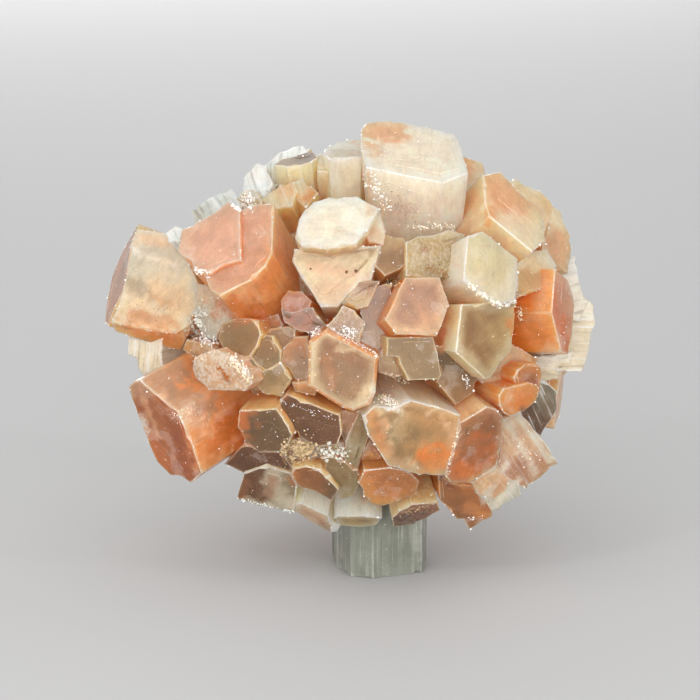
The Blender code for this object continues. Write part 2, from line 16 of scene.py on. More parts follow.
import bmesh
import bpy
import numpy as np
from mathutils import Matrix, Vector, noise
from mathutils.bvhtree import BVHTree
from mathutils.geometry import intersect_line_plane

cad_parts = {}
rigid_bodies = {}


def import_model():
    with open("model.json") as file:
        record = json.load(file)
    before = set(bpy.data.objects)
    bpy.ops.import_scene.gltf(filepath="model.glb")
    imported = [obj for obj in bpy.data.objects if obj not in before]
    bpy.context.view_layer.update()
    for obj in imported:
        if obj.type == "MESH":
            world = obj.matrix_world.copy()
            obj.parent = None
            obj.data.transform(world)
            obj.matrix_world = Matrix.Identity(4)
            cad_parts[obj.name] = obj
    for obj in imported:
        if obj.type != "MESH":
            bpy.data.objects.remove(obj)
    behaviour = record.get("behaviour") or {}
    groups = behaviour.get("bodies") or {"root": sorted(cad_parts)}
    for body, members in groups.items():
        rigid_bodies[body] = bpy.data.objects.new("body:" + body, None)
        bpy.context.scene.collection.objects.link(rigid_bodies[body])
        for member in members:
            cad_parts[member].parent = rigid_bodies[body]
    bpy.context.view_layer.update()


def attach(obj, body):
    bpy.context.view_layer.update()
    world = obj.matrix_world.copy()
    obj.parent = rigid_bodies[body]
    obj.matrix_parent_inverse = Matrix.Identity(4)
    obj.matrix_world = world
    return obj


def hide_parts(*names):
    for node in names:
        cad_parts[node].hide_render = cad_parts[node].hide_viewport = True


for old in list(bpy.data.objects):
    bpy.data.objects.remove(old, do_unlink=True)

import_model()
MM = 0.001

# %% [markdown]
# The view
#
# A cluster like this has no plan or section to draw, so the crystals in front are laid out the
# way a maker would draw them: as outlines seen from one place, in front and a little above. Each
# point of an outline is u mm to the right and v mm up from the middle of that view. The line of
# sight through it is cut with the plane of the crystal's flat end, which gives the point in
# space. The part's own source uses the same view, so both agree to a hair.

# %% Lines of sight
VIEW_TILT = math.radians(12.0)
VIEW_DISTANCE = 700 * MM
RIGHT = Vector((1.0, 0.0, 0.0))
UP = Vector((0.0, math.sin(VIEW_TILT), math.cos(VIEW_TILT)))
TOWARDS = Vector((0.0, -math.cos(VIEW_TILT), math.sin(VIEW_TILT)))

BALL_MIDDLE = (0.0, 3.0, 0.0)
BALL_REACH = (36.0, 31.0, 29.0)
GROWTH_POINT = (0.0, 3.0, -4.0)

FOOT_HEIGHT = 12.0
FOOT_NEAR = 7.0
FOOT_LOW = -32.7
FOOT_CORNERS = [
    (3.3, 0.0), (0.1, 1.4), (-1.9, 6.5), (-2.6, 12.0), (0.5, 17.5),
    (7.5, 18.5), (11.0, 13.0), (10.9, 7.0), (10.2, 3.6),
]
FOOT_MIDDLE = (4.3, 9.2)


def middle_of_view():
    """The point that the view looks at, from where the foot's front edge is seen."""
    scale = (VIEW_DISTANCE - FOOT_NEAR * MM) / VIEW_DISTANCE
    foot_front = UP * (FOOT_LOW * MM * scale) + TOWARDS * (FOOT_NEAR * MM)
    front_corner = Vector((0.0, (FOOT_CORNERS[0][1] - FOOT_MIDDLE[1]) * MM, 0.0))
    return front_corner - foot_front - RIGHT * (FOOT_MIDDLE[0] * MM)


MIDDLE_OF_VIEW = middle_of_view()
EYE = MIDDLE_OF_VIEW + TOWARDS * VIEW_DISTANCE


def in_room(right, up, near):
    """A direction or an offset given in the view, turned to the part's own axes."""
    return RIGHT * right + UP * up + TOWARDS * near


def seen_at(u, v):
    """The point of the view's middle plane that is seen at u, v."""
    return MIDDLE_OF_VIEW + in_room(u * MM, v * MM, 0.0)


def ball_near(u, v):
    """How far the round body reaches towards the viewer at u, v, in mm."""
    across = (u - BALL_MIDDLE[0]) / BALL_REACH[0]
    above = (v - BALL_MIDDLE[1]) / BALL_REACH[1]
    return BALL_REACH[2] * math.sqrt(max(0.04, 1.0 - across * across - above * above))


print("the view looks at, mm:", [round(x / MM, 1) for x in MIDDLE_OF_VIEW])

# %% [markdown]
# The colours
#
# Aragonite is colourless. Iron gives it peach and orange, mostly in the hollows and low on the
# sides, and inclusions give it olive and grey. The finish needs a few dozen such tints, so they
# are named once, as seen in daylight, and turned into the linear values that Blender works in.

# %% Palette
PALETTE = {
    "white": (255, 252, 246), "warm_white": (252, 244, 228), "cream": (246, 232, 204),
    "pink_cream": (241, 213, 186), "peach": (242, 200, 162), "light_peach": (242, 206, 172),
    "pink": (240, 202, 184), "salmon": (230, 184, 156), "mauve_pink": (211, 168, 139),
    "mauve": (187, 151, 125), "lilac_grey": (209, 180, 157), "orange": (240, 174, 112),
    "bright_orange": (250, 162, 74), "deep_orange": (226, 140, 66), "rust": (184, 110, 42),
    "orange_brown": (204, 144, 84), "brown": (172, 124, 74), "dark_brown": (128, 90, 50),
    "tan": (215, 176, 127), "light_tan": (225, 193, 146), "beige": (209, 183, 141),
    "olive_beige": (203, 183, 137), "olive": (165, 143, 103), "dark_olive": (132, 109, 73),
    "olive_brown": (173, 139, 96), "grey_green": (181, 170, 136), "pale_green": (232, 227, 200),
    "light_grey": (220, 218, 206), "grey": (169, 159, 137), "ice": (240, 246, 244),
    "ice_green": (196, 206, 200), "wet_grey": (140, 144, 134),
}


def linear(name):
    """A palette colour as the linear values that a shader takes."""
    shares = [value / 255 for value in PALETTE[name]]
    return np.array([s / 12.92 if s <= 0.04045 else ((s + 0.055) / 1.055) ** 2.4 for s in shares])


print("tints:", len(PALETTE))

# %% [markdown]
# One crystal in words
#
# Every crystal is a prism: an outline, the way it points, how near its flat end is, and how far
# it reaches down. Its look is a second set of values: the tints of the end and of the sides, the
# way in which one tint passes into the other, a darker or lighter border, and how milky, fluted
# or grainy it is. Keeping both sets beside each other in plain tables makes the cluster easy to
# correct, one crystal at a time.


# %% What a crystal is
class Crystal(NamedTuple):
    """One crystal: its end's outline as seen, how it stands, and its look."""
    name: str
    corners: list
    end: tuple = ("beige", "beige")
    side: tuple = ("tan", "orange_brown")
    way: tuple = (0.0, -1.0)
    rim: Optional[str] = None
    proud: float = 0.0
    axis: Optional[tuple] = None
    near: Optional[float] = None
    length: float = 15.0
    chamfer: float = 0.0
    root: float = 0.88
    flute: float = 0.07
    plates: int = 1
    grain: float = 0.0
    clear: bool = False
    streaks: Optional[float] = None


TOP = [
    Crystal("top_block", [
        (1.5, 29.2), (1.6, 31.6), (2.4, 32.5), (5.5, 32.9), (11, 31.9), (14.8, 31), (15.6, 30),
        (16.9, 25.3), (13.3, 23.9), (8, 24.9), (2.3, 26.1)],
        end=("white", "white"), side=("white", "white"),
        axis=(0.0, 0.8, 0.6), near=16.0, length=14, plates=2),
    Crystal("white_cube", [
        (-3.9, 28), (-3.6, 28.8), (-1.8, 29.7), (0.3, 30.1), (2.5, 30.1), (3, 28.6),
        (1.6, 27.6), (-1, 27.4), (-2.9, 27.3)],
        end=("ice", "light_grey"), side=("white", "warm_white"),
        axis=(0.0, 0.94, 0.34), near=9.0, length=14, flute=0.15),
    Crystal("white_cap", [
        (-6.5, 20), (-5.2, 21.2), (-3, 21.8), (1, 22), (4.2, 20.2), (2.8, 17.6), (0.8, 15.2),
        (-3.2, 14.4), (-7, 14.9), (-7.9, 16.2), (-7.3, 18.7)],
        end=("white", "white"), side=("warm_white", "pink_cream"), proud=0.5, plates=2),
    Crystal("pale_ledge", [
        (-8.3, 12.8), (-8, 14.5), (4.5, 15), (3.7, 12.5), (3, 10), (1.4, 9.8), (-1.8, 6.2),
        (-4.2, 6.2), (-5.5, 8.4), (-7, 10.4)],
        end=("cream", "pink_cream"), side=("white", "pink_cream"), proud=-1.5, plates=3),
    Crystal("pink_beige_wedge", [(4.2, 20.2), (5.2, 17), (4.8, 15), (2.8, 15.5), (1, 18)],
            end=("warm_white", "pink_cream"), side=("mauve_pink", "brown"), proud=-1.0),
    Crystal("grey_cap", [
        (-11, 26.4), (-9, 26.2), (-7, 26.4), (-5.5, 26.9), (-4.6, 27.5), (-5, 28.2),
        (-6, 28.3), (-10, 27.2)],
        end=("dark_olive", "olive"), side=("cream", "light_tan"),
        axis=(-0.12, 0.95, 0.3), near=10.0, length=12, flute=0.2),
    Crystal("tan_sliver", [
        (-4.9, 27.6), (-4.3, 28.2), (-3, 27.9), (-2.7, 27), (-3.2, 25.5), (-4.7, 25.5)],
        end=("warm_white", "cream"), side=("cream", "light_tan"),
        axis=(0.0, 0.8, 0.6), near=9.5, length=10),
    Crystal("white_behind", [
        (-11.4, 27), (-10, 28.3), (-8, 29.1), (-6.7, 29.2), (-5.9, 28.3), (-6.5, 25), (-11, 25)],
        end=("ice", "white"), side=("ice", "light_grey"),
        axis=(-0.2, 0.45, 0.87), near=6.0, length=9, clear=True, streaks=95),
    Crystal("pinkish_panel", [
        (-13, 21.5), (-10, 23.7), (-8, 24.2), (-7.5, 22.8), (-8.3, 20.5), (-11, 20)],
        end=("light_peach", "cream"), side=("light_tan", "orange_brown"),
        axis=(-0.3, 0.55, 0.78), near=15.0, length=12, flute=0.15, streaks=115),
    Crystal("brown_strip", [(-8.4, 24), (-6.7, 24.6), (-4.5, 22.5), (-6.3, 20.3), (-7.6, 21.5)],
            end=("cream", "orange"), side=("light_tan", "tan"),
            axis=(-0.1, 0.6, 0.79), near=14.6, length=12, flute=0.15, streaks=100),
    Crystal("rim_clear_a", [
        (-22.3, 18), (-22.7, 20), (-20, 21.9), (-18.5, 22.7), (-17, 23.1), (-15, 21.5), (-17, 18),
        (-20, 17)],
        end=("ice", "light_grey"), side=("ice", "ice"),
        axis=(-0.55, 0.6, 0.58), near=9.0, length=10, flute=0.2, clear=True, streaks=130),
    Crystal("rim_clear_b", [
        (-15.3, 23), (-15.2, 24.7), (-14.2, 26.1), (-13.2, 26.8), (-12, 26.3), (-11, 24),
        (-12, 21.5), (-15.6, 21.5)],
        end=("white", "ice"), side=("ice", "light_grey"),
        axis=(-0.3, 0.65, 0.7), near=10.0, length=11, flute=0.2, clear=True, streaks=110),
    Crystal("rim_clear_c", [(-12.4, 26.3), (-11.2, 27.2), (-9.9, 26.6), (-9.5, 24), (-12, 23)],
            end=("ice", "pale_green"), side=("ice", "grey_green"),
            axis=(-0.25, 0.6, 0.76), near=8.6, length=9, flute=0.2, clear=True, streaks=100),
    Crystal("granular_patch", [(-16.3, 21.7), (-15.3, 22.9), (-13.3, 23), (-12.6, 21), (-14.5, 19.6)],
            end=("warm_white", "beige"), side=("light_tan", "tan"),
            axis=(-0.4, 0.55, 0.73), near=14.5, length=10, grain=0.8),
    Crystal("peach_behind", [(15, 29), (16.3, 27.7), (19, 26.8), (19.4, 25.3), (17, 22), (14.5, 23)],
            end=("peach", "warm_white"), side=("orange", "deep_orange"),
            axis=(0.3, 0.6, 0.74), near=10.5, length=11, flute=0.15),
]

LEFT = [
    Crystal("left_block", [
        (-30.2, 18.1), (-31.5, 16), (-33, 13), (-34, 10.5), (-34.8, 6.5), (-35, 4), (-34.6, 3.4),
        (-33.7, 6), (-32.7, 8), (-32, 10), (-31.3, 15)],
        end=("brown", "orange_brown"), side=("light_tan", "tan"),
        axis=(-0.93, 0.28, 0.2), near=3.0, length=15, plates=0),
    Crystal("left_block_front", [
        (-30.5, 17.4), (-24.7, 16.4), (-21.7, 9.5), (-21.7, 6.8), (-23, 3.4), (-25, 2.3), (-29, 2.6),
        (-34.2, 3.9), (-32.5, 8.3), (-31.7, 12), (-31.2, 15)],
        end=("light_grey", "cream"), side=("light_tan", "bright_orange"),
        axis=(-0.3, 0.1, 0.95), near=10.5, length=13, plates=2),
    Crystal("left_block_under", [
        (-34.2, 3.9), (-33.5, 2.6), (-31, 1.7), (-28.5, 1), (-26, 0.2), (-24.2, -0.1), (-22.8, 3),
        (-25, 3), (-29, 3.4)],
        end=("cream", "bright_orange"), side=("light_peach", "bright_orange"),
        axis=(-0.3, -0.5, 0.81), near=9.2, length=11, plates=0),
    Crystal("rim_tip_left", [(-26.4, 16.8), (-25, 17.8), (-24, 17.4), (-24, 15.5), (-26, 15.5)],
            end=("white", "ice"), side=("ice", "light_grey"),
            axis=(-0.4, 0.5, 0.77), near=13.0, length=9, clear=True, plates=0, streaks=120),
    Crystal("clear_column", [
        (-31.8, 2.3), (-31.8, -0.6), (-31, -1), (-30.6, -1.2), (-30.4, -3), (-29.6, -3.7),
        (-28.4, -3.2),
        (-26.8, -2.6), (-26.8, 2.5)],
        end=("warm_white", "cream"), side=("warm_white", "light_grey"),
        axis=(-0.5, -0.1, 0.86), near=7.5, length=10, flute=0.3, clear=True, streaks=80),
    Crystal("pink_twin_left", [
        (-24.7, 14.2), (-24.5, 16), (-24, 17.3), (-20, 19.3), (-17.5, 21.2), (-15.8, 20.4),
        (-15.6, 12.9),
        (-18.2, 12.2), (-20, 11), (-22.3, 11.2), (-22.7, 12.9), (-24.2, 13.6)],
        end=("pink", "pink"), side=("salmon", "orange"),
        axis=(-0.4, 0.5, 0.77), near=23.0, length=18, plates=2),
    Crystal("pink_twin_right", [
        (-20.3, 9.4), (-20, 8.6), (-18.6, 7.8), (-14.2, 10), (-12.1, 12), (-11.1, 14), (-10.9, 20.9),
        (-12.8, 21), (-16, 20), (-21.5, 12)],
        end=("pink", "salmon"), side=("peach", "orange"), way=(0.7, -0.7),
        axis=(-0.34, 0.53, 0.77), near=25.4, length=18, plates=2),
    Crystal("grey_flat", [
        (-22, 9.5), (-18, 9), (-15.8, 6.5), (-15.5, 4), (-18.2, 3.8), (-19.2, 1.5), (-20.8, 1.5),
        (-22.3, 4)],
        end=("pink_cream", "light_grey"), side=("mauve", "brown"), proud=-7.0, grain=0.3),
    Crystal("brown_facet_left", [(-23.4, 1.5), (-19.8, 1), (-19.5, -0.8), (-22, -1.2), (-24, 0)],
            end=("tan", "brown"), side=("brown", "rust"), proud=-6.0),
    Crystal("olive_left_big", [
        (-18.9, 1.7), (-18.3, 3.9), (-16, 4.6), (-14.2, 4.5), (-13.3, 4.2), (-12.7, 2.1), (-13.3, 0.5),
        (-14.3, -1), (-16.3, -1.2), (-17.7, -0.7)],
        end=("olive", "olive_brown"), side=("olive_beige", "orange_brown"), proud=-3.0),
    Crystal("olive_mid", [
        (-13.4, 0.6), (-12.6, 2.2), (-11.1, 2), (-9.9, -0.1), (-9.9, -1.8), (-12.3, -3.3), (-14.1, -1)],
        end=("olive_brown", "olive"), side=("olive_beige", "orange_brown"), proud=-3.2),
    Crystal("olive_mid_low", [
        (-14.2, -0.9), (-12.3, -3.2), (-9.9, -1.8), (-8.4, -4.2), (-8.7, -4.9), (-10, -6.9),
        (-12, -6.4),
        (-13.2, -5.5), (-14.4, -4), (-14.8, -2.6)],
        end=("olive", "beige"), side=("olive_beige", "brown"), proud=-3.0),
    Crystal("olive_strip", [
        (-9.5, 0.3), (-8.1, 1.9), (-6.1, 2), (-5.5, -1), (-6, -4.4), (-7.9, -4.2), (-9.9, -1.8)],
        end=("orange_brown", "olive_brown"), side=("olive_brown", "brown"), proud=-3.0),
    Crystal("tan_upper", [
        (-12.6, 2.2), (-11.5, 3.1), (-8.9, 3.4), (-7.8, 2.9), (-8, 1.5), (-10, -0.5), (-11.1, 1.6)],
        end=("olive_brown", "brown"), side=("tan", "orange_brown"), proud=-4.0),
    Crystal("orange_knob", [
        (-9.9, 7), (-9.6, 7.6), (-8.8, 8.6), (-7, 8.4), (-5.5, 7), (-6, 5.6), (-8, 4.9), (-9.8, 5.4)],
        end=("rust", "rust"), side=("orange_brown", "rust"), proud=-3.6),
    Crystal("olive_upper", [
        (-9.9, 5.8), (-8.2, 5.4), (-6.3, 6.1), (-5.3, 6.1), (-4.6, 4.9), (-3.2, 3.4), (-5.5, 2.4),
        (-7, 2.6), (-8, 3), (-9.4, 4)],
        end=("dark_brown", "rust"), side=("olive_brown", "rust"), proud=-3.0),
    Crystal("mauve_chip", [(-12.6, 4.5), (-10.4, 5.2), (-9.5, 3.5), (-11.2, 2.6), (-12.6, 2.6)],
            end=("rust", "brown"), side=("mauve", "rust"), proud=-6.0),
    Crystal("cream_rough_cap", [
        (-22.3, -1.1), (-20.2, -0.2), (-19, 0.1), (-17.8, -0.7), (-16.2, -1.3), (-15.6, -2.5),
        (-14.4, -3.3), (-14, -4.8), (-15.1, -5.9), (-18, -5.8), (-20.1, -5.7), (-22, -4.1),
        (-22.6, -2.6)],
        end=("pink_cream", "light_peach"), side=("light_peach", "salmon"), proud=-0.6, grain=0.7,
        plates=3),
    Crystal("orange_lower_left", [
        (-31.7, -5.3), (-31.2, -7), (-30, -10.3), (-28.6, -13.8), (-27.6, -16), (-25.7, -17.9),
        (-24.4, -18), (-22.8, -19), (-21.2, -17.6), (-22.4, -13.8), (-24, -10.2), (-24.6, -8.8),
        (-27.5, -6.5), (-30, -4.3), (-30.9, -4.5)],
        end=("rust", "rust"), side=("lilac_grey", "orange"), way=(0.6, -0.8),
        axis=(-0.68, -0.42, 0.6), near=16.5, length=17, root=0.95, plates=2),
]

MIDDLE = [
    Crystal("centre_hexagon", [
        (-5.9, 1.2), (-3.4, 2.9), (4.1, -0.9), (3.7, -6), (2.9, -7.9), (0.5, -8.8), (-1, -8.4),
        (-6.1, -5.2)],
        end=("olive_brown", "olive_brown"), side=("orange_brown", "deep_orange"), rim="cream",
        proud=1.6, chamfer=0.5, plates=2),
    Crystal("grey_small", [
        (-1.9, 5), (-1, 6.4), (0.6, 5.7), (2.2, 3.9), (1.3, 0.8), (-2, 1.8), (-3.4, 3.4)],
        end=("olive_brown", "olive_brown"), side=("olive_beige", "orange_brown"), proud=-0.2,
        grain=0.3),
    Crystal("brown_valley", [(0.5, 9), (6, 9.5), (6, 4), (5.5, 0), (4, -1.5), (1, 0), (1.8, 4)],
            end=("brown", "olive_brown"), side=("brown", "rust"), proud=-3.0),
    Crystal("beige_facets", [
        (-1.2, 6.6), (0.1, 8.4), (1.3, 9.9), (4.3, 9.9), (3, 7), (2.6, 6.2), (1, 5.8)],
        end=("brown", "beige"), side=("tan", "orange_brown"), proud=-1.4),
    Crystal("glossy_brown", [(3.6, 12), (4.8, 16.6), (7.6, 16.1), (8.4, 15), (8.2, 12), (5, 10.6)],
            end=("beige", "olive_brown"), side=("olive_brown", "brown"), proud=-1.4),
    Crystal("mauve_hexagon", [
        (7.9, 10.4), (12.8, 10.4), (14.2, 6.5), (12.5, 2), (6.7, 2.2), (5, 4.3), (7.1, 8.9)],
        end=("mauve", "mauve_pink"), side=("orange", "deep_orange"), way=(0.7, -0.7), rim="light_peach",
        proud=1.6, plates=2),
    Crystal("green_wedge", [
        (8, 15.4), (9.8, 16.3), (11.8, 16.4), (14, 17.2), (16.5, 16.6), (14.8, 12.5),
        (12.8, 10.2), (8, 10.6)],
        end=("olive_beige", "olive_beige"), side=("olive_beige", "brown"), proud=-1.2, grain=0.4),
    Crystal("greenish_hexagon", [
        (5.3, 1.8), (11.9, 1.9), (12.5, -0.2), (13.1, -3.6), (12.6, -4.2), (8.3, -4.4), (7.2, -2),
        (6.9, -1), (5.2, -0.9)],
        end=("olive", "olive"), side=("olive_beige", "olive_brown"), proud=0.2),
    Crystal("gap_chip", [(4, -0.5), (5.4, 1), (7, -0.8), (8.5, -3.4), (6.4, -4), (4, -3.2)],
            end=("olive_beige", "olive_brown"), side=("brown", "dark_brown"), proud=-1.6),
    Crystal("brown_crystal", [
        (-10.1, -7.3), (-9, -6.3), (-1.4, -9.3), (-1.2, -12), (-1.8, -13.6), (-5, -13.8), (-7.2, -12.4),
        (-9, -10.6), (-9.9, -9)],
        end=("dark_brown", "dark_brown"), side=("beige", "brown"), way=(-0.3, -1.0), proud=-0.6),
    Crystal("orange_bow", [(-8.4, -4.7), (-6.2, -4.4), (-4.7, -5.6), (-5, -6.6), (-7.8, -6)],
            end=("orange", "orange_brown"), side=("orange_brown", "rust"), proud=-1.6),
    Crystal("olive_lower_left", [
        (-15.8, -8.6), (-10.5, -8.4), (-9.6, -9.7), (-8.8, -11), (-8.3, -12.2), (-8.9, -13.6),
        (-10, -14.6), (-13, -14.7), (-15, -13), (-16.1, -11), (-16.2, -10)],
        end=("dark_olive", "dark_olive"), side=("beige", "orange_brown"), proud=0.6),
    Crystal("lower_middle", [
        (3.5, -8), (6.1, -8.3), (8.7, -7.2), (12.7, -8.2), (15.8, -9.3), (15.4, -12.4), (13.6, -18),
        (10, -17.9), (5.4, -16.5), (2.6, -12.2), (1.8, -9.6)],
        end=("olive", "tan"), side=("white", "pink_cream"), way=(0.5, -0.85), rim="light_peach",
        proud=0.8, plates=2),
    Crystal("shard_a", [(-1.4, -8.6), (1.3, -8.8), (0.6, -10.5), (-0.9, -13.2), (-1.6, -11)],
            end=("mauve", "brown"), side=("brown", "rust"), proud=-1.4),
    Crystal("shard_b", [
        (1.3, -8.6), (3.8, -8), (3.2, -10), (2.6, -12.6), (1.8, -15), (1.2, -17), (0.3, -17),
        (-0.9, -15.5), (-0.7, -13)],
        end=("olive", "grey_green"), side=("brown", "rust"), proud=-1.2),
    Crystal("shard_c", [(2.8, -12.8), (5.2, -16.4), (5, -17.3), (1.6, -17.5), (1.6, -15)],
            end=("orange", "brown"), side=("orange_brown", "rust"), proud=-1.8),
    Crystal("druse_left", [
        (-9.3, -13), (-7, -12.4), (-5, -13.6), (-4.8, -15.4), (-6.6, -17), (-8.5, -16.8), (-9.8, -15)],
        end=("beige", "olive_brown"), side=("brown", "rust"), proud=-1.6, grain=0.6),
    Crystal("druse_right", [
        (-5, -13.4), (-1, -13.2), (0, -15), (-0.6, -16.2), (-3, -15.6), (-5, -15.4)],
        end=("beige", "olive_brown"), side=("brown", "rust"), proud=-1.6, grain=0.6),
]

RIGHT_SIDE = [
    Crystal("right_shoulder", [
        (19, 25.1), (21.6, 25.5), (24.1, 22.6), (27.5, 20.1), (28, 15.6), (26.1, 14), (19.9, 19.1),
        (19.3, 21)],
        end=("peach", "cream"), side=("cream", "peach"),
        axis=(0.55, 0.5, 0.67), near=17.4, length=15, plates=2),
    Crystal("tan_behind_right", [
        (23, 24.2), (23.9, 24.5), (26.6, 22.9), (27.3, 22.8), (29.2, 20.9), (28, 15), (24, 17)],
        end=("cream", "light_tan"), side=("tan", "orange"),
        axis=(0.5, 0.45, 0.74), near=11.0, length=12, flute=0.15),
    Crystal("orange_behind_right", [
        (29, 20.9), (30.3, 19.7), (30.6, 18.1), (31.5, 16.4), (31.8, 15), (31.2, 11), (27.5, 13),
        (27.5, 18)],
        end=("cream", "peach"), side=("peach", "orange"),
        axis=(0.72, 0.3, 0.62), near=10.0, length=12, flute=0.15),
    Crystal("pale_green_hexagon", [
        (16.8, 16.3), (19, 17), (24, 13.1), (24.1, 10), (23.7, 7), (21.3, 6.4), (16.2, 9.9)],
        end=("pale_green", "warm_white"), side=("white", "warm_white"), proud=2.2, plates=2),
    Crystal("tan_wedge", [(24, 12.5), (26, 14.2), (28.2, 14.4), (29.6, 12), (28, 8.9), (23.8, 7.4)],
            end=("cream", "light_tan"), side=("tan", "orange_brown"),
            axis=(0.55, 0.3, 0.78), near=17.5, length=13),
    Crystal("orange_right", [
        (29.3, 11.7), (31.2, 10), (31.8, 8), (32.1, 6.3), (31.7, 2), (31.2, -0.6), (30.2, -0.3),
        (28.8, 5.3)],
        end=("salmon", "deep_orange"), side=("orange", "bright_orange"),
        axis=(0.9, 0.02, 0.43), near=15.0, length=14, root=0.95),
    Crystal("olive_big", [
        (15.9, 6.5), (23.8, 7), (23.5, 3), (23, -0.2), (21.8, -1.6), (20.2, -3.9), (19.3, -4.2),
        (15.1, -0.3), (15.5, 3)],
        end=("olive_brown", "olive_beige"), side=("cream", "beige"), way=(1.0, -0.1),
        rim="pale_green", proud=0.6),
    Crystal("olive_recess", [
        (12.2, 0.6), (15, 0.6), (18.4, -4), (17.6, -6.2), (15.1, -7.9), (12.4, -4.6), (13, -3.4),
        (12, -1)],
        end=("dark_olive", "olive_brown"), side=("olive_brown", "rust"), proud=-2.2),
    Crystal("small_orange_low", [
        (21.3, -6.5), (22, -5.5), (23.6, -5.1), (25.5, -4.6), (26.8, -5), (27.2, -5.9), (26.5, -7.4),
        (25, -8.7), (22.8, -9.5), (22, -9), (21.4, -8)],
        end=("orange", "bright_orange"), side=("orange", "deep_orange"), rim="orange",
        axis=(0.62, -0.22, 0.75), near=19.4, length=12),
    Crystal("small_orange_high", [
        (23.4, -4), (23.9, -2.9), (25, -2), (26.5, -1.9), (27.3, -2.5), (27.5, -3.5), (27.2, -6),
        (24, -6)],
        end=("brown", "rust"), side=("orange", "deep_orange"), rim="orange",
        axis=(0.62, -0.18, 0.76), near=17.9, length=11),
    Crystal("orange_panel", [
        (18, -4), (21, -2.5), (23, 1), (27, -1.3), (26, -3), (22, -6.5), (20.5, -6)],
        end=("light_peach", "light_peach"), side=("peach", "orange"),
        axis=(0.45, -0.05, 0.89), near=16.6, length=12),
    Crystal("orange_lower_hexagon", [
        (15.7, -10.4), (19.6, -8.1), (21, -8.5), (21.8, -9.6), (21.8, -12.8), (21.3, -15.3),
        (20.9, -16.4), (17.1, -19.1), (14.3, -18.9), (13.6, -18), (14.4, -14), (15.3, -12.5)],
        end=("brown", "deep_orange"), side=("light_peach", "peach"), way=(-0.4, -0.9), rim="salmon",
        proud=0.4, plates=2),
    Crystal("dark_patch", [(21.3, -9), (24.4, -8.6), (25, -10), (23, -11.8), (21.5, -12.5)],
            end=("brown", "dark_brown"), side=("brown", "dark_brown"),
            axis=(0.5, -0.4, 0.77), near=15.0, length=10),
    Crystal("clear_lower_right", [
        (24, -8.6), (27, -4), (28.2, -4.5), (29.6, -6), (29.6, -8.6), (27.3, -12.4), (25, -11)],
        end=("grey", "dark_brown"), side=("ice", "grey"),
        axis=(0.5, -0.2, 0.84), near=11.0, length=11, clear=True, flute=0.2, streaks=-55),
    Crystal("striated_block", [
        (24.4, -8.9), (27.5, -12.6), (29.8, -16.2), (25.1, -20.1), (22.4, -18.4), (20.8, -16.5),
        (21.3, -10)],
        end=("pink_cream", "mauve_pink"), side=("light_grey", "mauve"),
        axis=(0.45, -0.36, 0.82), near=14.0, length=13, flute=0.2, plates=3, streaks=-52),
    Crystal("comb_block", [
        (21.6, -15.5), (24.5, -18), (24.6, -20.8), (23.7, -21.2), (21.7, -22.3), (21.6, -23.1),
        (20.3, -23.1),
        (18, -20.5), (19, -17)],
        end=("white", "light_grey"), side=("warm_white", "light_grey"),
        axis=(0.4, -0.42, 0.81), near=12.8, length=12, flute=0.35, streaks=-50),
    Crystal("peach_patch", [
        (17.3, -19), (20.8, -16.5), (22.6, -18.4), (22.6, -20), (20.6, -21.3), (18.3, -20.7)],
        end=("white", "light_peach"), side=("peach", "orange"),
        axis=(0.45, -0.45, 0.77), near=14.2, length=12, streaks=-50),
    Crystal("brown_lower_block", [
        (12.5, -17.6), (14.2, -18.7), (17.4, -19.4), (20.4, -22), (20.4, -23.8), (18.9, -24.6),
        (17.1, -25.7),
        (16.2, -24.2), (15.3, -24.2), (12.9, -21.5)],
        end=("orange_brown", "brown"), side=("orange", "brown"), way=(-0.5, -0.8),
        axis=(0.32, -0.55, 0.77), near=13.0, length=12, plates=2),
    Crystal("rim_columns_upper", [
        (31.2, 14.8), (31.8, 13.6), (32.3, 13.3), (33.5, 7.3), (34.2, 7), (33, 4), (29.5, 4),
        (28.5, 13)],
        end=("white", "warm_white"), side=("warm_white", "light_grey"),
        axis=(0.5, 0.1, 0.86), near=9.5, length=12, flute=0.3, clear=True, streaks=15),
    Crystal("rim_columns_middle", [
        (33, 8), (34.3, 7), (35, 6.4), (35.1, 4), (34.3, 0.8), (33.7, -2.5), (33.1, -3.2),
        (29.5, -3.1), (30, 8)],
        end=("warm_white", "cream"), side=("warm_white", "light_grey"),
        axis=(0.4, -0.02, 0.92), near=8.5, length=12, flute=0.3, clear=True, streaks=0),
    Crystal("rim_columns_lower", [
        (32, 0), (31, -3.1), (30.2, -3.1), (29.7, -4.2), (28.3, -4.4), (26.5, -4.6), (26, -1)],
        end=("warm_white", "cream"), side=("warm_white", "light_grey"),
        axis=(0.35, -0.2, 0.92), near=9.8, length=12, flute=0.3, clear=True, streaks=-12),
]

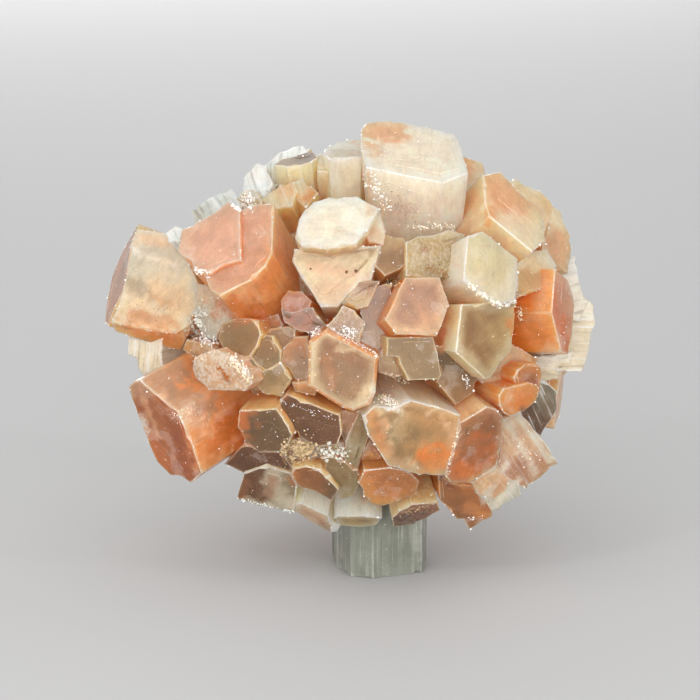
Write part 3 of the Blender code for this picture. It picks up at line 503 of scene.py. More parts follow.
BOTTOM = [
    Crystal("orange_brown_lower", [
        (1.1, -19), (2, -17.2), (5.7, -16.8), (8.5, -17.3), (9.9, -18.8), (9.5, -20.5), (7, -21.7),
        (4.7, -22.3), (3, -22), (1.9, -20.9), (1.9, -20)],
        end=("orange_brown", "orange"), side=("brown", "rust"), way=(-0.6, -0.8), proud=0.6, length=12),
    Crystal("brown_lower_right", [
        (6, -24), (7, -23), (8.8, -22.1), (12.6, -21.7), (12.9, -22.9), (11.3, -23.8), (9.2, -24.9),
        (6.2, -25.3)],
        end=("brown", "dark_brown"), side=("beige", "brown"),
        axis=(0.22, -0.86, 0.46), near=13.5, length=12, grain=0.2),
    Crystal("white_prism_left", [
        (-8, -23), (-7.9, -22.1), (-6.9, -21.9), (-4.5, -23.1), (-3.2, -23.6), (-2.5, -24.8),
        (-2.5, -26.1),
        (-3.2, -26), (-5, -25)],
        end=("salmon", "mauve_pink"), side=("white", "white"),
        axis=(-0.2, -0.86, 0.47), near=12.0, length=10, root=0.95, rim="warm_white"),
    Crystal("white_prism_right", [
        (-2.3, -24.1), (-1.8, -23.7), (2.6, -23.7), (4.6, -24.1), (3.7, -25.1), (1.5, -25.4),
        (-1.5, -25.1)],
        end=("olive", "olive_beige"), side=("white", "white"),
        axis=(0.0, -0.88, 0.47), near=12.6, length=10, root=0.95, rim="warm_white"),
    Crystal("olive_end_left", [
        (-8.4, -17), (-6.3, -16.6), (-4.3, -17.1), (-2.9, -18.2), (-1.6, -20), (-2.6, -21.6),
        (-5, -20.2),
        (-7.3, -19.6), (-8.4, -18.2)],
        end=("brown", "dark_olive"), side=("beige", "brown"), way=(1.0, -0.2), proud=0.4, length=12),
    Crystal("olive_end_right", [
        (-4.3, -15.5), (-3, -15), (-0.7, -16), (1.2, -17.2), (1.4, -19.2), (0.4, -21),
        (-1.5, -21.5), (-2.8, -18.5)],
        end=("olive", "grey_green"), side=("olive_brown", "brown"), proud=-0.4, length=12),
    Crystal("grey_white_block", [
        (-15.2, -17.6), (-16, -20.3), (-16.2, -20.8), (-16, -21.4), (-13, -22.3), (-8, -23.4),
        (-7.6, -19.2),
        (-8.5, -17.6), (-12, -16.5)],
        end=("dark_brown", "grey"), side=("light_grey", "brown"), way=(0.9, -0.4),
        axis=(-0.28, -0.5, 0.82), near=14.2, length=12, plates=2),
    Crystal("brown_steps", [
        (-18, -16.3), (-15.2, -13.3), (-12.5, -14.4), (-9.6, -14.4), (-8.3, -17), (-10, -18.6),
        (-15.2, -17.6)],
        end=("dark_brown", "dark_brown"), side=("brown", "rust"),
        axis=(-0.3, -0.42, 0.86), near=15.6, length=12, plates=3),
    Crystal("white_chip", [(-2.7, -24.5), (-1.2, -25), (-1.8, -26), (-2.8, -26.2)],
            end=("white", "white"), side=("white", "light_grey"),
            axis=(0.0, -0.5, 0.87), near=11.0, length=6, plates=0),
]

FRONT_CRYSTALS = TOP + LEFT + MIDDLE + RIGHT_SIDE + BOTTOM
print("crystals laid out by hand:", len(FRONT_CRYSTALS))

# %% [markdown]
# The crystals at the back
#
# Behind the front the same growth goes on. Directions spread evenly over the ball by the golden
# angle, as seeds sit in a sunflower, give each crystal its place. Chance does the rest, from one
# fixed seed, so that the cluster is the same each time. The draws are the ones that the part's
# source makes, in the same order, so every crystal lies on its solid.

# %% Places at the back
HIDDEN_MIDDLE = (2.5, 3.0, 1.5)
HIDDEN_REACH = (35.0, 30.0, 25.0)
HIDDEN_CRYSTALS = 70
HIDDEN_LENGTH = 16.0
HIDDEN_ROOT = 0.82
SEED = 11

BACK_LOOKS = [
    (("cream", "warm_white"), ("light_peach", "orange")),
    (("pale_green", "olive_beige"), ("beige", "orange_brown")),
    (("peach", "light_peach"), ("peach", "deep_orange")),
    (("olive_beige", "beige"), ("tan", "brown")),
    (("light_tan", "tan"), ("tan", "orange_brown")),
    (("orange", "peach"), ("orange", "deep_orange")),
    (("olive", "grey_green"), ("olive_brown", "brown")),
    (("white", "light_grey"), ("warm_white", "light_peach")),
    (("pink", "mauve_pink"), ("salmon", "orange")),
]


class Prism(NamedTuple):
    """A crystal in space: its end's corners, the way it points, and all that its look needs."""
    look: Crystal
    corners: list
    axis: Vector
    hidden: bool


def wound(corners, axis):
    """The corners in the order that makes the end face point along the axis."""
    middle = sum(corners, Vector()) / len(corners)
    area = Vector()
    for i, corner in enumerate(corners):
        area += (corner - middle).cross(corners[(i + 1) % len(corners)] - middle)
    return corners if area.dot(axis) > 0 else list(reversed(corners))


def front_prism(crystal):
    """Cuts the lines of sight through an outline with the plane of the crystal's end."""
    u = sum(corner[0] for corner in crystal.corners) / len(crystal.corners)
    v = sum(corner[1] for corner in crystal.corners) / len(crystal.corners)
    near = crystal.near if crystal.near is not None else ball_near(u, v) + crystal.proud
    axis = crystal.axis
    if axis is None:
        axis = (u - GROWTH_POINT[0], v - GROWTH_POINT[1], near - GROWTH_POINT[2])
    axis = in_room(*axis).normalized()
    scale = (VIEW_DISTANCE - near * MM) / VIEW_DISTANCE
    centre = MIDDLE_OF_VIEW + in_room(u * MM * scale, v * MM * scale, near * MM)
    corners = [intersect_line_plane(EYE, seen_at(*corner), centre, axis) for corner in crystal.corners]
    return Prism(crystal, wound(corners, axis), axis, False)


def hidden_directions(count):
    """Directions over the ball, evenly spread, that the front view doesn't show."""
    turn = math.pi * (3.0 - math.sqrt(5.0))
    for i in range(count * 2):
        near = 1.0 - (i + 0.5) / count
        ring = math.sqrt(max(0.0, 1.0 - near * near))
        right, up = ring * math.cos(turn * i), ring * math.sin(turn * i)
        if near < -0.12 and up > -0.93:
            yield Vector((right, up, near))


def back_prisms():
    """The crystals at the back, each with a look drawn from a short list."""
    chance = random.Random(SEED)
    taste = random.Random(SEED + 1)
    for i, way in enumerate(hidden_directions(HIDDEN_CRYSTALS)):
        reach = 0.78 - 0.18 * way.z + 0.05 * chance.uniform(-1, 1)
        tip = Vector([way[k] * HIDDEN_REACH[k] * reach for k in range(3)])
        tip += Vector(HIDDEN_MIDDLE)
        axis = tip - Vector(GROWTH_POINT)
        axis = axis.normalized() + Vector([chance.uniform(-0.2, 0.2) for _ in range(3)])
        axis = in_room(*axis).normalized()
        centre = MIDDLE_OF_VIEW + in_room(*(tip * MM))
        side = axis.orthogonal().normalized()
        other = axis.cross(side)
        across = chance.triangular(3.8, 8.2, 5.2)
        start = chance.uniform(0, math.tau)
        corners = []
        for k in range(6):
            angle = start + math.tau * k / 6 + chance.uniform(-0.16, 0.16)
            radius = across * chance.uniform(0.86, 1.1) * MM
            corners.append(centre + side * (radius * math.cos(angle)) + other * (radius * math.sin(angle)))
        end, sides = taste.choice(BACK_LOOKS)
        look = Crystal(
            f"hidden_{i:02d}", [], end=end, side=sides, length=HIDDEN_LENGTH, root=HIDDEN_ROOT,
            way=(taste.uniform(-1, 1), taste.uniform(-1, 1)), plates=taste.choice((0, 1, 1, 2)),
            rim=taste.choice((None, None, "cream", "olive_brown")), flute=taste.choice((0.07, 0.12, 0.2)),
            grain=taste.choice((0.0, 0.0, 0.2, 0.5)))
        yield Prism(look, wound(corners, axis), axis, True)


def foot_prism():
    """The lowest crystal, whose end is the flat face that the cluster stands on."""
    bottom = []
    for across, away in FOOT_CORNERS:
        bottom.append(Vector(((across - FOOT_MIDDLE[0]) * MM, (away - FOOT_MIDDLE[1]) * MM, 0.0)))
    look = Crystal(
        "foot", [], end=("ice_green", "light_grey"), side=("wet_grey", "wet_grey"), length=FOOT_HEIGHT + 4,
        root=1.04, flute=0.22, plates=0, clear=True)
    down = Vector((0, 0, -1))
    return Prism(look, wound(bottom, down), down, False)


prisms = [front_prism(crystal) for crystal in FRONT_CRYSTALS]
prisms.extend(back_prisms())
prisms.append(foot_prism())
print("prisms:", len(prisms))

# %% [markdown]
# From prism to crystal
#
# A plain prism looks like cut plastic. On the real crystals the sides are fluted by fine growth
# lines, the rim is a little worn and chipped, and thin plates lie on the end. A bevel modifier
# would round all edges alike and texture alone can't change an outline. So the rings of the
# prism are worked out in code: extra points along each side, pushed in by chance, make the
# flutes, a chamfer of changing width makes the worn rim, and a few lower and higher copies of
# the outline make the plates and the twins beside a crystal.

# %% The crystals' own axes
ROOM_LEFT_FOR_FLUTES = (0.55, 1.3)
RIM_WEAR = (0.07, 0.2)
CHIPPED_SHARE = 0.12
CHIP = (0.3, 0.7)
BORDER = 0.7
PLATE_RISE = (0.02, 0.06)
TWIN_DROP = (0.5, 2.2)
PLATE_DEPTH = 0.25


def axes_of(prism):
    """A crystal's middle and its three axes: across, up its end, and out of it."""
    middle = sum(prism.corners, Vector()) / len(prism.corners)
    across = RIGHT - prism.axis * RIGHT.dot(prism.axis)
    if across.length < 0.2:
        across = UP - prism.axis * UP.dot(prism.axis)
    across.normalize()
    return middle, across, prism.axis.cross(across), prism.axis


def outline_of(prism, axes):
    """The end's corners in mm along the crystal's own two axes across."""
    middle, across, up, _ = axes
    return [Vector(((c - middle).dot(across), (c - middle).dot(up))) / MM for c in prism.corners]


def mean_width(outline):
    """Twice the area over the girth: about half the width of the outline."""
    area = 0.0
    girth = 0.0
    for i, corner in enumerate(outline):
        following = outline[(i + 1) % len(outline)]
        area += 0.5 * (corner.x * following.y - corner.y * following.x)
        girth += (following - corner).length
    return 2.0 * abs(area) / girth


def fluted(outline, depth, chance):
    """The outline with points along its sides, some of them pushed in."""
    points = []
    for i, corner in enumerate(outline):
        following = outline[(i + 1) % len(outline)]
        along = following - corner
        inward = Vector((-along.y, along.x)).normalized()
        points.append(corner)
        here = chance.uniform(*ROOM_LEFT_FOR_FLUTES)
        while here < along.length - 0.4:
            pushed = depth * chance.random() ** 1.5
            points.append(corner + along * (here / along.length) + inward * pushed)
            here += chance.uniform(*ROOM_LEFT_FOR_FLUTES)
    return points


def inset(points, widths):
    """The outline moved in by the given width at each point."""
    moved = []
    count = len(points)
    for i, point in enumerate(points):
        before = (point - points[i - 1]).normalized()
        after = (points[(i + 1) % count] - point).normalized()
        inward = Vector((-before.y - after.y, before.x + after.x))
        size = inward.length
        stretch = min(1.6, 2.0 / max(size, 0.6))
        moved.append(point + inward * (widths[i] * stretch / max(size, 1e-6)))
    return moved


def crystal_mesh(number, outline, axes, length, root, chance, rise=0.0, wear=RIM_WEAR, chamfer=0.0):
    """A closed mesh of one crystal, from the border of its end down to its root."""
    middle, across, up, out = axes
    count = len(outline)
    border = min(BORDER, 0.45 * mean_width(outline))
    worn = []
    for _ in outline:
        chipped = chance.random() < CHIPPED_SHARE
        worn.append(min(border * 0.7, chance.uniform(*(CHIP if chipped else wear)) + chamfer))
    levels = [
        (inset(outline, [border] * count), [0.0] * count),
        (inset(outline, worn), [0.0] * count),
        (outline, worn),
    ]
    centre = sum(outline, Vector((0.0, 0.0))) / count
    depth = max(max(worn) + 0.25, 1.0)
    shrink = 0.0
    while depth < length:
        share = 1.0 + (root - 1.0) * depth / length
        ring = inset([centre + (p - centre) * share for p in outline], [shrink] * count)
        levels.append((ring, [depth] * count))
        depth += chance.uniform(2.0, 5.0)
        shrink = max(0.0, shrink + chance.uniform(-0.05, 0.07))
    levels.append(([centre + (p - centre) * root for p in outline], [length] * count))
    points = []
    for ring, depths in levels:
        for point, below in zip(ring, depths):
            points.append(middle + (across * point.x + up * point.y + out * (rise - below)) * MM)
    faces = [tuple(range(count))]
    for level in range(len(levels) - 1):
        for i in range(count):
            j = (i + 1) % count
            a, b = level * count + i, level * count + j
            faces.append((a, a + count, b + count, b))
    last = (len(levels) - 1) * count
    faces.append(tuple(range(last + count - 1, last - 1, -1)))
    mesh = bpy.data.meshes.new(f"crystal_{number:03d}")
    mesh.from_pydata(points, [], faces)
    owner = mesh.attributes.new("crystal", "INT", "FACE")
    owner.data.foreach_set("value", [number] * len(faces))
    return mesh


def plate_outline(outline, chance):
    """A smaller outline inside the first, as a thin plate that grew on the end."""
    size = chance.uniform(0.35, 0.75)
    centre = sum(outline, Vector((0.0, 0.0))) / len(outline)
    towards = chance.choice(outline) - centre
    shift = towards * (chance.uniform(0.2, 0.8) * (1.0 - size))
    return [centre + shift + (p - centre) * size * chance.uniform(0.93, 1.04) for p in outline]


def twin_outline(outline, chance):
    """A copy of the outline, moved past its edge, as the lower half of a twin."""
    size = chance.uniform(0.45, 0.75)
    centre = sum(outline, Vector((0.0, 0.0))) / len(outline)
    towards = chance.choice(outline) - centre
    shift = towards * chance.uniform(0.35, 0.75)
    turn = Matrix.Rotation(chance.uniform(-0.3, 0.3), 2)
    return [centre + shift + (turn @ (p - centre)) * size for p in outline]


def crystal_shapes(number, prism):
    """The crystal's meshes: itself, the plates on its end and, at the back, its twins."""
    chance = random.Random(1000 + number)
    look = prism.look
    axes = axes_of(prism)
    outline = outline_of(prism, axes)
    points = fluted(outline, look.flute, chance)
    yield crystal_mesh(number, points, axes, look.length, look.root, chance, chamfer=look.chamfer)
    for plate in range(look.plates):
        shape = fluted(plate_outline(outline, chance), 0.05, chance)
        rise = chance.uniform(*PLATE_RISE) * (plate + 1)
        yield crystal_mesh(number, shape, axes, 2.0, 0.95, chance, rise=rise, wear=(0.03, 0.08))
    if prism.hidden:
        for _ in range(chance.choice((1, 1, 2))):
            shape = fluted(twin_outline(outline, chance), look.flute, chance)
            drop = -chance.uniform(*TWIN_DROP)
            yield crystal_mesh(number, shape, axes, look.length * 0.8, look.root, chance, rise=drop)


crystal_axes = [axes_of(prism) for prism in prisms]
shapes = [[mesh for mesh in crystal_shapes(i, prism)] for i, prism in enumerate(prisms)]
print("shapes to join:", sum(len(group) for group in shapes))

# %% [markdown]
# Growing together
#
# On the real cluster no crystal ends where it meets another: they share one body. Loose prisms
# that only overlap would hide walls inside, and light that wanders through milky stone would
# stop at each of them. A Boolean union removes those walls. With more than two hundred closed
# shapes the fast solver is the one to use, since every shape here is closed, and its number is
# kept on each face so that the finish still knows which crystal a face belongs to. Clear
# crystals become a piece of their own, because their finish is a different one.


# %% One body
CORE_REACH = (25.0, 20.0, 19.0)
SPLITTING_ROUNDS = 7
FINE_EDGE = 0.85 * MM
COARSE_EDGE = 2.8 * MM
CORE = len(prisms)


def core_object(name, reach):
    """The ball in the middle that the crystals grow out of."""
    body = bmesh.new()
    bmesh.ops.create_icosphere(body, subdivisions=2, radius=1.0)
    middle = MIDDLE_OF_VIEW + in_room(*(x * MM for x in BALL_MIDDLE))
    for vertex in body.verts:
        x, y, z = vertex.co
        vertex.co = middle + in_room(x * reach[0] * MM, y * reach[1] * MM, z * reach[2] * MM)
    mesh = bpy.data.meshes.new(name)
    body.to_mesh(mesh)
    body.free()
    owner = mesh.attributes.new("crystal", "INT", "FACE")
    owner.data.foreach_set("value", [CORE] * len(mesh.polygons))
    thing = bpy.data.objects.new(name, mesh)
    bpy.context.scene.collection.objects.link(thing)
    return thing


def closed_parts(faces):
    """The separate closed surfaces that a set of faces falls into."""
    left = set(faces)
    while left:
        surface = {left.pop()}
        front = list(surface)
        while front:
            face = front.pop()
            for edge in face.edges:
                for other in edge.link_faces:
                    if other in left:
                        left.discard(other)
                        surface.add(other)
                        front.append(other)
        yield surface


def joined(thing, meshes):
    """Joins all meshes with the thing's own by one Boolean, and keeps the outer surface."""
    bin_of_shapes = bpy.data.collections.new("shapes to join")
    for mesh in meshes:
        bin_of_shapes.objects.link(bpy.data.objects.new(mesh.name, mesh))
    bpy.context.scene.collection.children.link(bin_of_shapes)
    union = thing.modifiers.new("grow together", "BOOLEAN")
    union.operation = "UNION"
    union.operand_type = "COLLECTION"
    union.collection = bin_of_shapes
    union.solver = "MANIFOLD"
    evaluated = thing.evaluated_get(bpy.context.evaluated_depsgraph_get())
    body = bmesh.new()
    body.from_mesh(evaluated.to_mesh())
    thing.modifiers.clear()
    for shape in list(bin_of_shapes.objects):
        bpy.data.objects.remove(shape, do_unlink=True)
    bpy.data.collections.remove(bin_of_shapes)
    return body


def without_pockets(body):
    """Removes the closed surfaces inside the largest one."""
    parts = sorted(closed_parts(body.faces), key=len)
    for pocket in parts[:-1]:
        bmesh.ops.delete(body, geom=list(pocket), context="FACES")
    return len(parts) - 1


def refined(body, longest):
    """Splits edges until none is longer than its face allows, so that tints can change over it."""
    bmesh.ops.triangulate(body, faces=body.faces[:])
    body.normal_update()
    for _ in range(SPLITTING_ROUNDS):
        long_edges = [e for e in body.edges if e.calc_length() > longest(e)]
        if not long_edges:
            break
        bmesh.ops.subdivide_edges(body, edges=long_edges, cuts=1)
        bmesh.ops.triangulate(body, faces=[f for f in body.faces if len(f.verts) > 3])
        body.normal_update()


def longest_edge(edge):
    """Short edges where the front view looks, longer ones elsewhere."""
    near = (edge.verts[0].co - MIDDLE_OF_VIEW).dot(TOWARDS)
    seen = any(face.normal.dot(TOWARDS) > 0.05 for face in edge.link_faces)
    return FINE_EDGE if seen and near > 5 * MM else COARSE_EDGE


stone_shapes = [mesh for prism, group in zip(prisms, shapes) if not prism.look.clear for mesh in group]
clear_shapes = [mesh for prism, group in zip(prisms, shapes) if prism.look.clear for mesh in group]

crystal_cluster = core_object("crystal_cluster", CORE_REACH)
body = joined(crystal_cluster, stone_shapes)
pockets = without_pockets(body)
print("faces of the body:", len(body.faces), "pockets filled:", pockets)
refined(body, longest_edge)
body.to_mesh(crystal_cluster.data)
body.free()
print("after refining:", len(crystal_cluster.data.polygons))

clear_crystals = bpy.data.objects.new("clear_crystals", clear_shapes[0])
bpy.context.scene.collection.objects.link(clear_crystals)
body = joined(clear_crystals, clear_shapes[1:])
refined(body, longest_edge)
body.to_mesh(clear_crystals.data)
body.free()
print("clear crystals:", len(clear_crystals.data.polygons))

# %% [markdown]
# Tints on the faces
#
# In the stone one tint passes into another across an end, or from the rim of a crystal down to
# its root. Image textures would need a flat map of two hundred crystals. Texture nodes alone
# don't know where a crystal begins. The mesh does: for each corner of each face the crystal's own
# axes give how far in from the border and how far below the end it lies. The tints are worked
# out from these and kept as colour attributes, which the finish then reads. Short rays find the
# hollows, and painted shade makes the tint there a little deeper and warmer. The sides are painted
# lighter than their tint, as painted light standing in for light that comes through the stone.
# Each crystal has its pattern turned its own way, with growth lines that run down its sides.


# %% Measures on each face corner
def smooth(values, low, high):
    """Goes from 0 to 1 between low and high, gently at both ends."""
    share = np.clip((values - low) / (high - low), 0.0, 1.0)
    return share * share * (3.0 - 2.0 * share)


class Skin:
    """A mesh seen from its face corners: where each lies in the view and in its crystal."""

    def __init__(self, thing):
        mesh = thing.data
        self.mesh = mesh
        vertices = np.zeros(len(mesh.vertices) * 3)
        mesh.vertices.foreach_get("co", vertices)
        self.points = vertices.reshape(-1, 3)
        self.vertex = np.zeros(len(mesh.loops), int)
        mesh.loops.foreach_get("vertex_index", self.vertex)
        sizes = np.zeros(len(mesh.polygons), int)
        mesh.polygons.foreach_get("loop_total", sizes)
        normals = np.zeros(len(mesh.polygons) * 3)
        mesh.polygons.foreach_get("normal", normals)
        owners = np.zeros(len(mesh.polygons), int)
        mesh.attributes["crystal"].data.foreach_get("value", owners)
        self.face = np.repeat(np.arange(len(sizes)), sizes)
        self.normal = normals.reshape(-1, 3)[self.face]
        self.owner = owners[self.face]
        self.at = self.points[self.vertex]
        self.measure()

    def measure(self):
        """Works out view coordinates, own coordinates, and the distance to the nearest rim."""
        offset = self.at - np.array(MIDDLE_OF_VIEW)
        near = offset @ np.array(TOWARDS)
        scale = VIEW_DISTANCE / (VIEW_DISTANCE - near)
        self.u = offset @ np.array(RIGHT) * scale / MM
        self.v = offset @ np.array(UP) * scale / MM
        self.near = near / MM
        self.facing = self.normal @ np.array(TOWARDS)
        count = len(self.at)
        self.own = np.zeros((count, 3))
        self.end = np.zeros(count, bool)
        self.rim = np.full(count, 9.0)
        for number in np.unique(self.owner):
            mine = np.nonzero(self.owner == number)[0]
            if number == CORE:
                self.own[mine] = offset[mine] / MM
                continue
            middle, across, up, out = (np.array(x) for x in crystal_axes[number])
            local = (self.at[mine] - middle) / MM
            own = np.stack([local @ across, local @ up, -(local @ out)], 1)
            self.own[mine] = own
            outline = np.array(outline_of(prisms[number], crystal_axes[number]))
            inside = self.to_sides(own, outline)
            end = (self.normal[mine] @ out > 0.8) | ((own[:, 2] < PLATE_DEPTH) & (inside > BORDER))
            self.end[mine] = end
            self.rim[mine] = np.where(end, inside, self.to_edges(own, outline))

    @staticmethod
    def to_sides(own, outline):
        """Distance in mm from points on an end to the outline."""
        start = outline[None, :, :]
        along = np.roll(outline, -1, 0)[None, :, :] - start
        towards = own[:, None, :2] - start
        share = np.clip((towards * along).sum(2) / (along * along).sum(2), 0.0, 1.0)
        return np.linalg.norm(towards - along * share[:, :, None], axis=2).min(1)

    @staticmethod
    def to_edges(own, outline):
        """Distance in mm from points on a side to the end's rim or to an upright edge."""
        corners = np.linalg.norm(own[:, None, :2] - outline[None, :, :], axis=2).min(1)
        return np.minimum(corners * 2.5, np.maximum(own[:, 2], 0.0))

    def spots(self, size, seed):
        """Soft noise around 0 at each face corner, with blotches of that size in mm."""
        shift = Vector((seed * 17.3, seed * 5.1, seed * 9.7))
        values = np.array([noise.noise(Vector(p) / (size * MM) + shift) for p in self.points])
        return values[self.vertex]

    def keep(self, name, values, kind):
        """Writes one value or colour per face corner onto the mesh."""
        attribute = self.mesh.attributes.new(name, kind, "CORNER")
        field = {"FLOAT": "value", "FLOAT_VECTOR": "vector", "FLOAT_COLOR": "color"}[kind]
        attribute.data.foreach_set(field, np.ascontiguousarray(values, np.float32).ravel())


# How much lighter the sides are painted than their tint: painted light for light that crosses the crystal.
SIDE_PAINTED_LIGHT = 1.4
SIDE_FADE = 7.0
SECOND_SIDE_TINT = 0.75
BORDER_TINT = 0.55
BRIGHTEST = 0.97
RICHER = 1.2


def base_tints(skin):
    """The tint of every face corner from its crystal's look."""
    tint = np.tile(linear("tan"), (len(skin.at), 1))
    large, small = skin.spots(5.0, 1), skin.spots(1.6, 2)
    for number in np.unique(skin.owner):
        if number == CORE:
            continue
        mine = np.nonzero(skin.owner == number)[0]
        look = prisms[number].look
        towards = in_room(look.way[0], look.way[1], 0.0)
        _, across, up, _ = crystal_axes[number]
        way = np.array((towards.dot(across), towards.dot(up)))
        way /= max(np.linalg.norm(way), 1e-6)
        outline = np.array(outline_of(prisms[number], crystal_axes[number]))
        reach = outline @ way
        passed = (skin.own[mine, :2] @ way - reach.min()) / (reach.max() - reach.min())
        wander = large[mine] * 0.5 + small[mine] * 0.3
        first, second = (linear(name) for name in look.end)
        share = smooth(passed + wander, 0.2, 0.8)[:, None]
        ends = first + (second - first) * share
        if look.rim:
            border = 1.0 - smooth(skin.rim[mine] + wander * 1.5, 0.3, 1.7)
            ends = ends + (linear(look.rim) - ends) * (border * BORDER_TINT)[:, None]
        first, second = (linear(name) for name in look.side)
        share = smooth(skin.own[mine, 2] / SIDE_FADE + wander, 0.05, 0.95)[:, None] * SECOND_SIDE_TINT
        sides = first + (second - first) * share
        # Painted light: the sides are made lighter than their tint.
        sides = sides * np.minimum(SIDE_PAINTED_LIGHT, BRIGHTEST / sides.max(1))[:, None]
        tint[mine] = np.where(skin.end[mine, None], ends, sides)
    return tint


OWN_PATTERN = (17.3, 9.1, 23.7)
TURN_OF_PATTERN = 2.4
STREAKED = 4.0
FOOT_STREAKS = 0.35
HOLLOW_REACH = 5.0 * MM
HOLLOW_RAYS = 10
# Painted shade in the hollows: the tint it takes them towards, and how strongly.
HOLLOW_SHADE_TINT = np.array((1.0, 0.87, 0.70))
HOLLOW_SHADE_STRENGTH = 0.35


def directions(count):
    """Directions over a whole ball, drawn once from a fixed seed."""
    chance = random.Random(SEED + 4)
    return [Vector([chance.gauss(0, 1) for _ in range(3)]).normalized() for _ in range(count)]


def depth_in_hollows(thing, tree):
    """How closed in each vertex lies: 0 in the open, 1 deep in a gap."""
    ways = directions(61)
    depth = np.zeros(len(thing.data.vertices))
    for i, vertex in enumerate(thing.data.vertices):
        start = vertex.co + vertex.normal * (0.05 * MM)
        met = 0.0
        for k in range(HOLLOW_RAYS):
            way = ways[(i * HOLLOW_RAYS + k) % len(ways)]
            if way.dot(vertex.normal) < 0:
                way = -way
            place, _, _, distance = tree.ray_cast(start, way, HOLLOW_REACH)
            if place:
                met += 1.0 - distance / HOLLOW_REACH
        depth[i] = met / HOLLOW_RAYS
    return depth


def pattern_of(skin):
    """Coordinates for patterns, with the third along the growth lines, and how strong those are."""
    place = skin.own.copy()
    turn = skin.owner * TURN_OF_PATTERN
    place[:, 0] = skin.own[:, 0] * np.cos(turn) - skin.own[:, 1] * np.sin(turn)
    place[:, 1] = skin.own[:, 0] * np.sin(turn) + skin.own[:, 1] * np.cos(turn)
    side = np.where(skin.end, 0.0, 1.0)
    for number, prism in enumerate(prisms):
        if prism.look.streaks is None:
            continue
        mine = np.nonzero((skin.owner == number) & skin.end)[0]
        angle = math.radians(prism.look.streaks)
        towards = in_room(math.cos(angle), math.sin(angle), 0.0)
        _, across, up, _ = crystal_axes[number]
        way = Vector((towards.dot(across), towards.dot(up))).normalized()
        x, y, depth = skin.own[mine].T
        place[mine] = np.stack([x * way.y - y * way.x, depth, x * way.x + y * way.y], 1)
        side[mine] = 1.0 if prism.look.clear else STREAKED
    side[skin.owner == len(prisms) - 1] *= FOOT_STREAKS
    return place + np.outer(skin.owner, OWN_PATTERN), side


def dressed_with_tints(thing, tree, touches):
    """Measures the mesh, and keeps the tint, the rim distance and the own coordinates on it."""
    skin = Skin(thing)
    tint = base_tints(skin)
    # Painted shade: the tint is made deeper and warmer where the short rays meet other faces.
    hollow_shade = smooth(depth_in_hollows(thing, tree)[skin.vertex], 0.12, 0.75) * HOLLOW_SHADE_STRENGTH
    tint = tint * (1.0 + (HOLLOW_SHADE_TINT - 1.0) * hollow_shade[:, None])
    grain = np.array([prism.look.grain for prism in prisms] + [0.5])[skin.owner]
    tint, grain = touches(skin, tint, grain)
    tint = tint ** RICHER
    skin.keep("tint", np.concatenate([tint, np.ones((len(tint), 1))], 1), "FLOAT_COLOR")
    skin.keep("rim", np.minimum(skin.rim, 3.0), "FLOAT")
    skin.keep("grain", grain, "FLOAT")
    place, side = pattern_of(skin)
    skin.keep("side", side, "FLOAT")
    skin.keep("own", place, "FLOAT_VECTOR")
    return skin


# %% [markdown]
# Stains, veils, cracks and painted glints
#
# What makes a crystal look grown are its accidents: an orange stain that shines through a corner,
# a white veil inside, a dark red crack. Each of these is one touch: a place in the view, its
# reach, a tint and a strength. A few touches with grains are painted glints instead: pale,
# sparkling patches where light catches a side. A touch works like a brush on the surfaces that
# face the viewer there, with an edge made ragged by noise.


# %% Touches
class Touch(NamedTuple):
    """One stain, veil, crack or painted glint: where it starts and ends in the view, its reach in mm, tint,
    strength.
    """
    start: tuple
    finish: tuple
    reach: float
    tint: str
    strength: float = 0.7
    grain: float = 0.0


